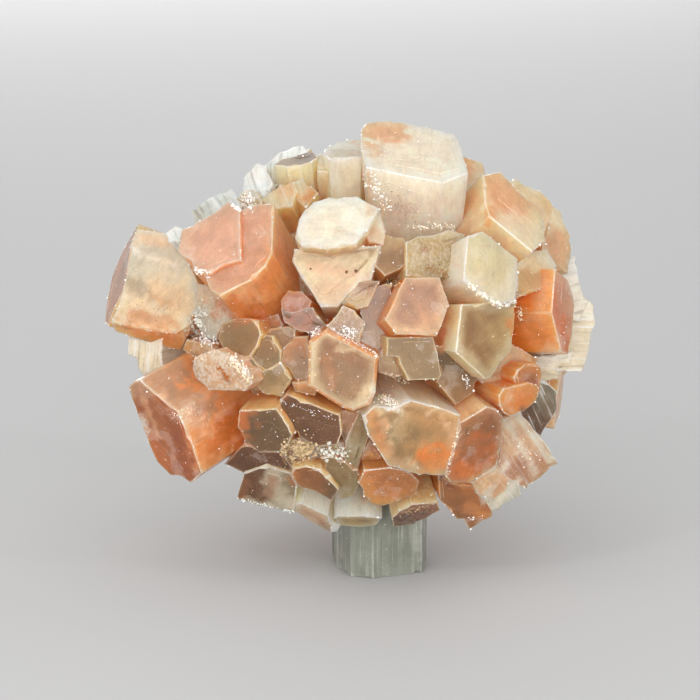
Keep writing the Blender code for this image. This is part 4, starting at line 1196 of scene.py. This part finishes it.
TOUCHES = [
    Touch((-34.0, 3.0), (-24.0, 1.2), 1.8, "bright_orange", 0.6),
    Touch((-31.5, 5.3), (-29.0, 4.7), 0.7, "orange_brown", 0.6),
    Touch((-28.5, 7.6), (-25.5, 6.6), 0.7, "tan", 0.7),
    Touch((-11.0, -18.5), (-8.8, -22.6), 1.8, "light_grey", 0.85),
    Touch((-15.0, -21.6), (-9.0, -23.0), 0.9, "light_grey", 0.8),
    Touch((6.9, 2.9), (12.3, 2.7), 0.5, "light_peach", 0.8),
    Touch((4.0, -8.3), (5.8, -13.0), 0.5, "cream", 0.8),
    Touch((24.0, -9.5), (28.6, -15.8), 0.6, "white", 0.6),
    Touch((22.6, -10.5), (26.4, -17.6), 0.6, "white", 0.6),
    Touch((19.0, -21.5), (22.5, -16.5), 0.6, "white", 0.7),
    Touch((21.0, -22.0), (24.0, -18.5), 0.6, "white", 0.7),
    Touch((-30.5, -5.5), (-24.5, -3.5), 2.6, "lilac_grey", 0.8),
    # Painted glints: pale, sparkling patches where light catches the side.
    Touch((-26.5, -8.5), (-24.5, -9.5), 1.0, "light_peach", 0.25, 0.3),
    Touch((-23.0, -8.6), (-20.5, -10.0), 1.4, "light_peach", 0.2, 0.3),
    # A painted glint: a white, sparkling patch.
    Touch((-30.0, -9.5), (-29.0, -11.5), 0.8, "white", 0.5, 0.8),
    Touch((-29.0, -12.0), (-26.5, -16.0), 1.6, "deep_orange", 0.6),
    # A painted glint: a white, sparkling patch on the top side of lower_middle.
    Touch((4.0, -6.2), (7.0, -7.8), 1.4, "white", 0.5, 0.9),
    Touch((7.5, -9.5), (6.5, -12.0), 1.3, "cream", 0.45),
    Touch((13.2, -9.6), (14.4, -12.0), 0.7, "light_peach", 0.6),
    Touch((1.8, 31.4), (6.5, 31.2), 2.2, "peach", 0.9),
    Touch((2.2, 29.0), (3.5, 28.6), 1.4, "light_peach", 0.6),
    Touch((9.5, 17.5), (15.0, 17.0), 1.6, "warm_white", 0.3, 0.3),
    Touch((4.5, 20.5), (9.0, 19.5), 1.5, "peach", 0.2, 0.6),
    Touch((2.4, 25.0), (2.7, 20.0), 0.8, "light_peach", 0.6),
    Touch((-5.7, 12.0), (1.0, 11.0), 1.0, "salmon", 0.5),
    Touch((-7.5, 13.4), (3.5, 14.0), 1.0, "beige", 0.6),
    Touch((-17.5, 6.0), (-12.0, 5.0), 2.2, "deep_orange", 0.75),
    Touch((-11.6, 9.0), (-10.6, 14.0), 1.6, "bright_orange", 0.5),
    Touch((-12.5, 10.5), (-14.0, 8.0), 1.5, "orange", 0.6),
    Touch((-30.8, 4.5), (-25.0, 3.6), 1.3, "orange", 0.6),
    Touch((-30.0, 15.8), (-25.5, 15.6), 1.2, "pink_cream", 0.8),
    Touch((-30.0, 12.0), (-26.0, 10.5), 2.2, "light_grey", 0.5),
    Touch((-31.5, 9.5), (-29.5, 8.3), 1.3, "grey", 0.7),
    Touch((-33.5, 5.0), (-25.0, 4.0), 1.0, "tan", 0.5),
    Touch((-31.0, 14.2), (-25.0, 12.1), 0.5, "white", 0.7),
    Touch((-27.0, 8.0), (-24.0, 6.5), 2.4, "light_tan", 0.5),
    Touch((-24.5, 1.5), (-30.0, 2.2), 1.2, "bright_orange", 0.5),
    Touch((-18.6, -2.6), (-17.3, -4.5), 0.5, "rust", 0.6),
    Touch((-20.8, -1.0), (-19.0, -4.8), 1.0, "peach", 0.5),
    Touch((-28.5, -8.0), (-25.8, -15.0), 1.5, "orange_brown", 0.5),
    Touch((-30.0, -6.0), (-27.5, -12.0), 0.5, "light_peach", 0.6),
    Touch((-19.5, -14.0), (-15.8, -10.0), 2.6, "deep_orange", 0.75),
    Touch((-22.0, -12.5), (-20.5, -16.5), 1.8, "orange", 0.7),
    Touch((-25.0, -6.0), (-20.5, -8.0), 2.0, "lilac_grey", 0.8),
    Touch((-8.0, -5.0), (-10.0, -7.0), 0.45, "rust", 0.85),
    Touch((-3.6, -1.0), (-2.4, -4.5), 1.1, "orange_brown", 0.55),
    Touch((-3.0, 0.6), (1.5, -1.8), 1.3, "brown", 0.7),
    Touch((-5.3, 0.4), (-5.4, -4.6), 0.9, "cream", 0.5),
    Touch((1.0, -7.7), (3.2, -5.0), 1.0, "cream", 0.7),
    Touch((-2.0, 0.1), (0.7, 0.0), 0.35, "cream", 0.6),
    Touch((8.5, -10.2), (7.2, -11.8), 1.2, "beige", 0.6),
    Touch((11.0, -9.1), (13.0, -8.2), 0.4, "cream", 0.7),
    Touch((8.6, -15.6), (10.0, -17.4), 0.8, "cream", 0.6),
    Touch((10.5, -15.0), (13.2, -15.0), 1.9, "bright_orange", 0.85),
    Touch((10.5, -17.5), (12.8, -16.5), 1.2, "orange", 0.7),
    Touch((4.6, -10.0), (5.0, -14.5), 1.0, "peach", 0.6),
    Touch((3.2, -9.5), (4.6, -14.0), 0.9, "orange", 0.6),
    Touch((13.0, 2.5), (12.8, 0.3), 0.8, "orange", 0.7),
    Touch((11.0, 4.0), (12.8, 4.5), 1.4, "peach", 0.6),
    Touch((10.6, 14.2), (10.7, 14.3), 0.5, "rust", 0.6),
    Touch((17.8, -5.2), (20.2, -7.3), 0.4, "rust", 0.6),
    Touch((20.2, -7.3), (22.3, -9.2), 0.4, "rust", 0.6),
    Touch((23.5, 3.2), (26.0, -0.8), 1.1, "bright_orange", 0.8),
    Touch((24.5, 5.0), (28.0, 1.5), 2.0, "orange", 0.7),
    Touch((27.5, 9.0), (27.0, 5.0), 1.6, "peach", 0.6),
    Touch((16.2, -16.8), (18.0, -18.2), 1.5, "bright_orange", 0.6),
    Touch((16.8, -11.0), (18.0, -10.0), 1.4, "olive_brown", 0.6),
    Touch((25.3, -8.8), (26.8, -9.8), 0.9, "dark_brown", 0.85),
    Touch((17.0, -22.5), (19.6, -23.8), 1.1, "orange", 0.7),
    Touch((18.0, -18.8), (21.5, -18.0), 1.1, "light_peach", 0.7),
    Touch((12.4, -18.5), (12.5, -18.7), 0.6, "rust", 0.9),
    Touch((22.0, 18.5), (25.5, 16.5), 1.8, "warm_white", 0.6),
    Touch((20.0, 23.6), (22.5, 22.6), 1.5, "peach", 0.6),
    Touch((19.6, 20.6), (19.9, 18.6), 1.0, "orange", 0.6),
    Touch((-11.0, -18.8), (-11.5, -20.3), 1.0, "mauve", 0.7),
    Touch((-14.8, -19.0), (-15.3, -21.0), 0.9, "brown", 0.6),
    Touch((-8.2, -19.0), (-7.8, -17.6), 0.8, "orange_brown", 0.7),
    Touch((2.5, -20.8), (4.5, -21.8), 1.0, "orange", 0.7),
    Touch((-9.7, 4.6), (-9.4, 4.1), 0.5, "rust", 0.8),
    Touch((8.5, -5.2), (11.5, -6.4), 1.2, "cream", 0.8),
    Touch((18.6, -5.6), (19.6, -6.6), 1.0, "peach", 0.6),
    Touch((-4.6, 24.5), (-3.2, 22.0), 1.3, "cream", 0.8),
    Touch((-7.6, 21.0), (-6.4, 20.0), 1.0, "cream", 0.6),
    Touch((-28.5, 0.6), (-26.0, 0.0), 1.0, "orange", 0.6),
]


def paint_touches(skin, tint, grain):
    """Brushes every touch onto what faces the viewer."""
    ragged = skin.spots(1.1, 3)
    for touch in TOUCHES:
        start = np.array(touch.start)
        along = np.array(touch.finish) - start
        seen = np.stack([skin.u, skin.v], 1)
        share = np.clip(((seen - start) @ along) / (along @ along), 0.0, 1.0)
        away = np.linalg.norm(seen - start - share[:, None] * along, axis=1)
        mask = 1.0 - smooth(away / touch.reach + ragged * 0.8, 0.35, 1.15)
        mask *= smooth(skin.facing, 0.02, 0.2) * (skin.near > 4.0)
        tint = tint + (linear(touch.tint) - tint) * (mask * touch.strength)[:, None]
        grain = grain + (touch.grain - grain) * mask * (touch.grain > 0)
    return tint, grain


def tree_of(things):
    """One search tree for the faces of several things."""
    points = []
    faces = []
    for thing in things:
        first = len(points)
        points.extend(vertex.co for vertex in thing.data.vertices)
        faces.extend(tuple(first + i for i in face.vertices) for face in thing.data.polygons)
    return BVHTree.FromPolygons(points, faces)


surroundings = tree_of((crystal_cluster, clear_crystals))
stone_skin = dressed_with_tints(crystal_cluster, surroundings, paint_touches)
clear_skin = dressed_with_tints(clear_crystals, surroundings, lambda skin, tint, grain: (tint, grain))
print("face corners tinted:", len(stone_skin.at) + len(clear_skin.at))

# %% [markdown]
# Writing a finish
#
# A finish is a tree of nodes. Written as calls alone it is hard to read, so a small class wraps
# one socket and lets ordinary expressions build the tree: a * 0.5 + b adds its Math nodes, and
# colours and vectors take Vector Math instead.


# %% Sockets as values
class Value:
    """One output socket, usable in Python expressions."""

    def __init__(self, finish, socket):
        self.finish = finish
        self.socket = socket

    def is_vector(self):
        return self.socket.type in ("VECTOR", "RGBA")

    def combine(self, operation, first, second):
        vector = any(isinstance(x, Value) and x.is_vector() for x in (first, second))
        kind = "ShaderNodeVectorMath" if vector else "ShaderNodeMath"
        inputs = {}
        for place, x in enumerate((first, second)):
            plain = vector and not isinstance(x, (Value, tuple))
            inputs[place] = (x, x, x) if plain else x
        return self.finish.node(kind, {"operation": operation}, inputs)

    def __add__(self, other):
        return self.combine("ADD", self, other)

    def __radd__(self, other):
        return self.combine("ADD", other, self)

    def __sub__(self, other):
        return self.combine("SUBTRACT", self, other)

    def __rsub__(self, other):
        return self.combine("SUBTRACT", other, self)

    def __mul__(self, other):
        return self.combine("MULTIPLY", self, other)

    def between(self, low, high):
        """Goes smoothly from 0 at low to 1 at high."""
        settings = {"interpolation_type": "SMOOTHSTEP"}
        inputs = {"Value": self, "From Min": low, "From Max": high}
        return self.finish.node("ShaderNodeMapRange", settings, inputs)


class Finish:
    """A material, and the one way in which its nodes are made."""

    def __init__(self, name):
        self.material = bpy.data.materials.new(name)
        self.material.use_nodes = True
        self.tree = self.material.node_tree
        self.shader = self.tree.nodes["Principled BSDF"]

    def node(self, kind, settings=None, inputs=None, output=0):
        """Adds a node: first its settings, then the values or links of its sockets."""
        node = self.tree.nodes.new(kind)
        for name, value in (settings or {}).items():
            setattr(node, name, value)
        for name, value in (inputs or {}).items():
            self.feed(node.inputs[name], value)
        return Value(self, node.outputs[output])

    def feed(self, socket, value):
        """Links a value to a socket, or sets a plain one on it."""
        if isinstance(value, Value):
            self.tree.links.new(value.socket, socket)
        elif socket.type == "RGBA":
            socket.default_value = (*value[:3], 1.0)
        else:
            socket.default_value = value

    def mix(self, share, first, second):
        """Passes from the first colour to the second."""
        settings = {"data_type": "RGBA", "clamp_factor": True}
        return self.node("ShaderNodeMix", settings, {0: share, 6: first, 7: second}, 2)

    def kept(self, name, output="Fac"):
        """Reads what the mesh keeps on its face corners."""
        return self.node("ShaderNodeAttribute", {"attribute_name": name}, None, output)

    def noise(self, place, size, detail=3.0, roughness=0.55):
        """Noise from 0 to 1 with blotches of that size, in the units of place."""
        inputs = {"Vector": place, "Scale": 1.0 / size, "Detail": detail, "Roughness": roughness}
        return self.node("ShaderNodeTexNoise", {"noise_dimensions": "3D"}, inputs)

    def cell(self, place, size, metric):
        """A random value from 0 to 1 for each cell of that size, in the units of place."""
        settings = {"feature": "F1", "distance": metric}
        cells = self.node("ShaderNodeTexVoronoi", settings, {"Vector": place, "Scale": 1.0 / size}, "Color")
        return self.node("ShaderNodeSeparateColor", None, {"Color": cells}, "Red")

    def set(self, **sockets):
        """Sets the shader's own sockets, named as in Blender with _ for a space."""
        for name, value in sockets.items():
            self.feed(self.shader.inputs[name.replace("_", " ")], value)


# %% [markdown]
# Milky aragonite
#
# Light enters the stone, scatters on tiny inclusions and comes out a few millimetres away, redder
# than it went in. That is subsurface scattering, with a little plain transmission for the glassy
# outer layer. On top of the kept tints come the things that are smaller than a face: mottling and
# streaks, pale worn rims that also carry a painted highlight, white dust, cloudy veils, and growth
# lines along the sides. Painted light makes a pale band shine along each rim, and painted shade
# darkens the middle of each end, as if seen deep into the crystal. The gloss adds white of its
# own, so the stone under it is made deeper in colour than its tint.


# %% The stone's finish
# The tint of the painted shade in the middle of each end.
WINDOW_SHADE_TINT = (0.84, 0.78, 0.68)
STONE_DEEPER = (0.98, 0.90, 0.78)
STONE_STRIPES = 0.12
STONE_GAPS = (0.84, 0.74, 0.62)
CLEAR_DEEPER = (0.97, 0.96, 0.93)
CLEAR_STRIPES = 1.2
CLEAR_GAPS = (0.58, 0.57, 0.54)


def crystal_surface(finish, deeper, stripes, gaps):
    """The colour and the relief that milky and clear crystals share."""
    tint = finish.kept("tint", "Color")
    own = finish.kept("own", "Vector")
    rim = finish.kept("rim")
    side = finish.kept("side")
    grain = finish.kept("grain")

    fine = finish.noise(own, 0.5, 3.0, 0.6)
    cloud = finish.noise(own, 2.6, 3.0, 0.6)
    frost = finish.noise(own, 0.2, 2.0, 0.5)
    lines = finish.noise(own * (1.0, 1.0, 0.05), 0.55, 3.0, 0.6)
    bent = own * (1.0, 1.0, 0.4) + cloud
    planes = finish.cell(bent, 3.2, "CHEBYCHEV")
    dust = finish.node("ShaderNodeTexVoronoi", {"feature": "F1"}, {"Vector": own, "Scale": 1.0})
    lot = finish.cell(own, 1.0, "EUCLIDEAN")

    streaky = finish.noise(own * (1.0, 0.28, 0.28), 0.7, 4.0, 0.65)
    mottle = 0.7 + cloud.between(0.3, 0.7) * 0.16 + planes * 0.1 + fine.between(0.3, 0.7) * 0.09
    mottle = mottle + frost.between(0.3, 0.7) * 0.06 + streaky.between(0.3, 0.7) * 0.14
    colour = tint * deeper * mottle
    # Painted shade: the middle of each end is darker, as if seen deep into the crystal.
    window_shade = rim.between(0.2, 2.2) * (1.0 - side) * 0.25
    colour = finish.mix(window_shade, colour, colour * WINDOW_SHADE_TINT)
    # Painted light: a pale, glowing band along the rims.
    painted_rim_glow = (1.0 - rim.between(0.0, 0.4)) * 0.18
    colour = finish.mix(painted_rim_glow, colour, linear("warm_white"))
    veil = planes.between(0.8, 0.84) * cloud.between(0.42, 0.6) * 0.16
    colour = finish.mix(veil, colour, linear("white"))
    colour = finish.mix(lines.between(0.5, 0.68) * side * (0.7 * stripes), colour, colour * gaps)
    colour = finish.mix((1.0 - lines.between(0.25, 0.45)) * side * stripes, colour, linear("white"))
    # Pale worn rims, which also serve as a painted highlight along the edges.
    worn = (1.0 - (rim + fine * 0.35).between(0.12, 0.28)) * cloud.between(0.4, 0.6)
    colour = finish.mix(worn * 0.7, colour, linear("white"))
    specks = (1.0 - (dust + fine * 0.15).between(0.12, 0.2)) * lot.between(0.8, 0.82)
    rime = frost.between(0.62, 0.7) * cloud.between(0.45, 0.62) * 0.35
    colour = finish.mix(specks + rime, colour, linear("white"))
    granules = fine.between(0.45, 0.6) * grain
    colour = finish.mix(granules * 0.6, colour, linear("white"))
    colour = colour.combine("MINIMUM", colour, BRIGHTEST)

    relief = fine * 0.2 + streaky * 0.2 + lines * side * stripes + granules * 0.8 + cloud * 0.2
    normal = finish.node(
        "ShaderNodeBump", None, {"Strength": 0.5, "Distance": 0.22 * MM, "Height": relief}, "Normal")
    roughness = 0.32 + fine * 0.14 + granules * 0.2 + worn * 0.15
    return colour, normal, roughness


stone = Finish("milky_aragonite")
colour, normal, roughness = crystal_surface(stone, STONE_DEEPER, STONE_STRIPES, STONE_GAPS)
stone.set(
    Base_Color=colour, Normal=normal, Roughness=roughness, IOR=1.6, Subsurface_Weight=0.9,
    Subsurface_Radius=(1.0, 0.75, 0.55), Subsurface_Scale=6.0 * MM, Transmission_Weight=0.4,
    Coat_Weight=0.35, Coat_Roughness=0.1, Coat_IOR=1.5)

clear = Finish("clear_aragonite")
colour, normal, roughness = crystal_surface(clear, CLEAR_DEEPER, CLEAR_STRIPES, CLEAR_GAPS)
clear.set(
    Base_Color=colour, Normal=normal, Roughness=roughness, IOR=1.6, Subsurface_Weight=0.4,
    Subsurface_Radius=(1.0, 1.0, 1.0), Subsurface_Scale=2.0 * MM, Transmission_Weight=0.35,
    Coat_Weight=0.5, Coat_Roughness=0.1, Coat_IOR=1.5)

crystal_cluster.data.materials.clear()
crystal_cluster.data.materials.append(stone.material)
clear_crystals.data.materials.clear()
clear_crystals.data.materials.append(clear.material)
print("nodes in the stone's finish:", len(stone.tree.nodes))

# %% [markdown]
# Grains
#
# In the hollows and along worn rims sits a crust of grains, a few tenths of a millimetre wide and
# bright as sugar. Particles would not leave Blender, so each grain is a small closed shape of its
# own, all in one mesh. Their places are found by looking: a line of sight through a chosen patch
# of the view meets the stone, and the grain sits where it does. More lie along the rims of the
# ends, and single grains lie all over.


# %% The grains' places
class Patch(NamedTuple):
    """A patch of grains: a line in the view, its reach, how many, their size in mm, tint."""
    start: tuple
    finish: tuple
    reach: float
    count: int
    size: float
    tint: str = "white"


PATCHES = [
    Patch((-0.5, 11.2), (-0.4, 11.2), 0.1, 3, 0.32, "dark_brown"),
    Patch((0.8, 11.3), (0.9, 11.3), 0.1, 3, 0.32, "dark_brown"),
    Patch((-5.7, 11.6), (-5.6, 11.6), 0.1, 3, 0.3, "dark_brown"),
    Patch((-22.3, 11.4), (-20.2, 11.0), 0.5, 50, 0.22),
    Patch((-16.8, 20.7), (-15.4, 20.0), 0.4, 40, 0.26),
    Patch((-18.6, -2.4), (-17.2, -4.6), 0.25, 60, 0.2, "rust"),
    Patch((-19.0, -2.6), (-17.8, -2.9), 0.2, 25, 0.18, "rust"),
    Patch((-25.4, -9.5), (-22.0, -9.0), 0.8, 40, 0.18, "warm_white"),
    Patch((4.5, -6.5), (6.8, -8.0), 0.7, 50, 0.24, "cream"),
    Patch((24.5, -13.5), (27.0, -16.0), 1.6, 40, 0.16),
    Patch((-21.2, 6.0), (-22.2, 2.5), 1.3, 170, 0.3, "light_grey"),
    Patch((-22.0, 2.0), (-19.4, 1.2), 0.8, 90, 0.24),
    Patch((-8.8, -14.2), (-5.6, -14.6), 1.7, 170, 0.42, "beige"),
    Patch((-4.2, -14.4), (-0.8, -14.9), 1.1, 90, 0.38, "light_grey"),
    Patch((-3.0, 3.2), (4.0, -0.8), 0.35, 110, 0.18),
    Patch((-5.6, 2.1), (-4.4, 2.9), 0.6, 50, 0.22),
    Patch((-0.9, 3.0), (0.6, 2.3), 0.7, 60, 0.22),
    Patch((-14.2, 22.0), (-14.8, 21.0), 1.2, 130, 0.24),
    Patch((-17.0, -1.0), (-14.4, -3.4), 0.5, 60, 0.22),
    Patch((-22.4, -1.4), (-19.0, 0.0), 0.4, 60, 0.2, "pink_cream"),
    Patch((4.8, -3.2), (8.2, -4.8), 0.5, 70, 0.2, "cream"),
    Patch((4.9, -6.9), (6.2, -8.0), 0.7, 60, 0.2),
    Patch((15.4, -11.5), (13.8, -18.0), 0.3, 75, 0.2, "cream"),
    Patch((10.8, 12.0), (13.6, 10.6), 0.7, 90, 0.22, "olive_brown"),
    Patch((17.0, 9.2), (21.5, 6.3), 0.4, 100, 0.28, "warm_white"),
    Patch((21.5, 6.2), (23.7, 6.9), 0.3, 40, 0.26),
    Patch((-17.5, -0.6), (-14.2, -4.4), 0.6, 100, 0.28, "cream"),
    Patch((16.4, -3.8), (16.8, -5.2), 0.4, 30, 0.2),
    Patch((5.0, 9.2), (7.0, 9.6), 0.6, 60, 0.22, "beige"),
    Patch((-10.0, -7.2), (-2.0, -10.0), 0.5, 60, 0.13),
    Patch((6.5, -23.6), (12.0, -22.0), 0.5, 50, 0.15, "light_tan"),
    Patch((9.0, 17.6), (15.0, 17.6), 0.5, 90, 0.22, "warm_white"),
    Patch((2.8, 24.8), (5.5, 20.0), 1.0, 90, 0.26),
    Patch((4.5, 24.0), (9.0, 18.5), 1.6, 70, 0.12, "dark_brown"),
    Patch((-33.0, 6.5), (-25.5, 5.5), 1.8, 50, 0.12, "rust"),
    Patch((24.0, 6.2), (24.6, 4.4), 0.4, 50, 0.2, "cream"),
    Patch((17.0, -24.0), (20.0, -24.2), 0.4, 25, 0.14),
    Patch((-16.0, -21.2), (-8.2, -23.2), 0.3, 60, 0.2, "ice"),
]
LOOSE_GRAINS = 2600
EDGE_GRAINS = 0.55
GRAIN_POINTS = [
    (0.0, 0.0, 1.0), (0.8, 0.1, 0.2), (0.2, 0.75, 0.35), (-0.7, 0.3, 0.1), (-0.3, -0.7, 0.3),
    (0.45, -0.55, 0.05), (0.0, 0.0, -0.6),
]
GRAIN_FACES = [
    (0, 1, 2), (0, 2, 3), (0, 3, 4), (0, 4, 5), (0, 5, 1),
    (6, 2, 1), (6, 3, 2), (6, 4, 3), (6, 5, 4), (6, 1, 5),
]


def grain_places():
    """Where grains sit: place, outward direction, size in mm and tint."""
    chance = random.Random(SEED + 2)
    graph = bpy.context.evaluated_depsgraph_get()
    surface = BVHTree.FromObject(crystal_cluster, graph)
    for patch in PATCHES:
        for _ in range(patch.count):
            share = chance.random()
            u, v = (
                a + (b - a) * share + chance.gauss(0, 0.5) * patch.reach
                for a, b in zip(patch.start, patch.finish))
            place, normal, _, _ = surface.ray_cast(EYE, seen_at(u, v) - EYE)
            if place:
                yield place, normal, patch.size * chance.uniform(0.4, 1.25), patch.tint
    for prism in prisms[:-1]:
        for i, corner in enumerate(prism.corners):
            edge = corner - prism.corners[i - 1]
            for _ in range(int(edge.length / MM * EDGE_GRAINS * chance.uniform(0.0, 2.0))):
                place, normal, _, away = surface.find_nearest(corner - edge * chance.random())
                if away < 0.4 * MM:
                    yield place, normal, chance.triangular(0.07, 0.32, 0.1), "white"
    mesh = crystal_cluster.data
    areas = np.array([face.area for face in mesh.polygons])
    picks = np.random.default_rng(SEED).choice(len(areas), LOOSE_GRAINS, p=areas / areas.sum())
    for pick in picks:
        face = mesh.polygons[int(pick)]
        if face.center.z > 2 * MM:
            yield face.center.copy(), face.normal.copy(), chance.triangular(0.05, 0.22, 0.08), "white"


def grain_mesh(places):
    """One mesh of small closed grains, each turned and stretched by chance."""
    chance = random.Random(SEED + 3)
    points = []
    faces = []
    tints = []
    for place, normal, size, tint in places:
        turn = normal.to_track_quat("Z", "Y").to_matrix()
        turn = turn @ Matrix.Rotation(chance.uniform(0, math.tau), 3, "Z")
        turn = turn @ Matrix.Rotation(chance.uniform(-0.9, 0.9), 3, "X")
        stretch = Vector((chance.uniform(0.5, 1.0), chance.uniform(0.5, 1.0), chance.uniform(0.5, 1.3)))
        first = len(points)
        for point in GRAIN_POINTS:
            local = Vector(a * b for a, b in zip(point, stretch)) * (size * MM)
            points.append(place + turn @ local)
        faces.extend(tuple(first + i for i in face) for face in GRAIN_FACES)
        shade = linear(tint) * chance.uniform(0.75, 1.05)
        tints.extend([(*np.clip(shade, 0, 1), 1.0)] * (3 * len(GRAIN_FACES)))
    mesh = bpy.data.meshes.new("druse_grains")
    mesh.from_pydata(points, [], faces)
    kept = mesh.attributes.new("tint", "FLOAT_COLOR", "CORNER")
    kept.data.foreach_set("color", np.array(tints, np.float32).ravel())
    return mesh


sugar = Finish("sugary_grains")
glint = sugar.noise(sugar.node("ShaderNodeTexCoord", None, None, "Object"), 0.6 * MM, 2.0)
sugar.set(
    Base_Color=sugar.kept("tint", "Color") * (0.85 + glint * 0.3), Roughness=0.15 + glint * 0.3, IOR=1.6)
druse_grains = bpy.data.objects.new("druse_grains", grain_mesh(grain_places()))
druse_grains.data.materials.append(sugar.material)
bpy.context.scene.collection.objects.link(druse_grains)
print("grains:", len(druse_grains.data.polygons) // len(GRAIN_FACES))

# %% [markdown]
# Onto the frame
#
# All three pieces belong to the one body of the part, and together they stand for its one node.

# %% Pieces on the frame
for piece in (crystal_cluster, clear_crystals, druse_grains):
    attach(piece, "root")
    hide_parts("aragonite_cluster")

# %% [markdown]
# Light and view
#
# A specimen is best seen in broad, soft light from above and in front: hard light would make each
# face a mirror. One large area light does that. Two wide ones in front fill the shaded sides, two
# small ones add glints, one behind lights the far rim, and an even sky fills the hollows. The
# floor is pale and plain.

# %% Floor, light and camera
HALF_FLOOR = 3.0
SKY_STRENGTH = 0.76
floor_mesh = bpy.data.meshes.new("floor")
floor_mesh.from_pydata(
    [(-HALF_FLOOR, -HALF_FLOOR, 0), (HALF_FLOOR, -HALF_FLOOR, 0), (HALF_FLOOR, HALF_FLOOR, 0),
     (-HALF_FLOOR, HALF_FLOOR, 0)], [], [(0, 1, 2, 3)])
floor = bpy.data.objects.new("floor", floor_mesh)
floor.location.z = -0.05 * MM
bpy.context.scene.collection.objects.link(floor)
paper = Finish("pale_floor")
paper.set(Base_Color=(0.48, 0.48, 0.48), Roughness=0.8)
floor_mesh.materials.append(paper.material)

world = bpy.data.worlds.new("soft sky")
world.use_nodes = True
sky = world.node_tree.nodes["Background"]
sky.inputs["Color"].default_value = (1.0, 1.0, 1.0, 1.0)
sky.inputs["Strength"].default_value = SKY_STRENGTH
bpy.context.scene.world = world


def area_light(name, place, width, height, power):
    """An area light that faces the cluster."""
    lamp = bpy.data.lights.new(name, "AREA")
    lamp.shape = "RECTANGLE"
    lamp.size = width
    lamp.size_y = height
    lamp.energy = power
    light = bpy.data.objects.new(name, lamp)
    light.location = MIDDLE_OF_VIEW + in_room(*place)
    light.rotation_euler = (light.location - MIDDLE_OF_VIEW).to_track_quat("Z", "Y").to_euler()
    bpy.context.scene.collection.objects.link(light)


LIGHTS = [
    ("key", (-0.2, 0.5, 0.75), 1.1, 1.1, 2.8),
    ("front fill", (0.0, 0.08, 0.8), 0.9, 0.4, 2.4),
    ("low fill", (0.0, -0.08, 0.8), 0.9, 0.2, 2.7),
    ("spark", (-0.32, 0.3, 0.55), 0.07, 0.07, 0.45),
    ("right spark", (0.45, 0.25, 0.45), 0.07, 0.07, 0.35),
    ("back", (-0.1, 0.15, -0.7), 0.5, 0.5, 2.0),
]
for light in LIGHTS:
    area_light(*light)

bpy.context.scene.view_settings.view_transform = "Standard"
lens = bpy.data.cameras.new("camera")
lens.sensor_width = 36.0
VIEW_WIDTH = 100 * MM
lens.lens = lens.sensor_width * VIEW_DISTANCE / VIEW_WIDTH
camera = bpy.data.objects.new("camera", lens)
camera.location = EYE
camera.rotation_euler = TOWARDS.to_track_quat("Z", "Y").to_euler()
bpy.context.scene.collection.objects.link(camera)
bpy.context.scene.camera = camera
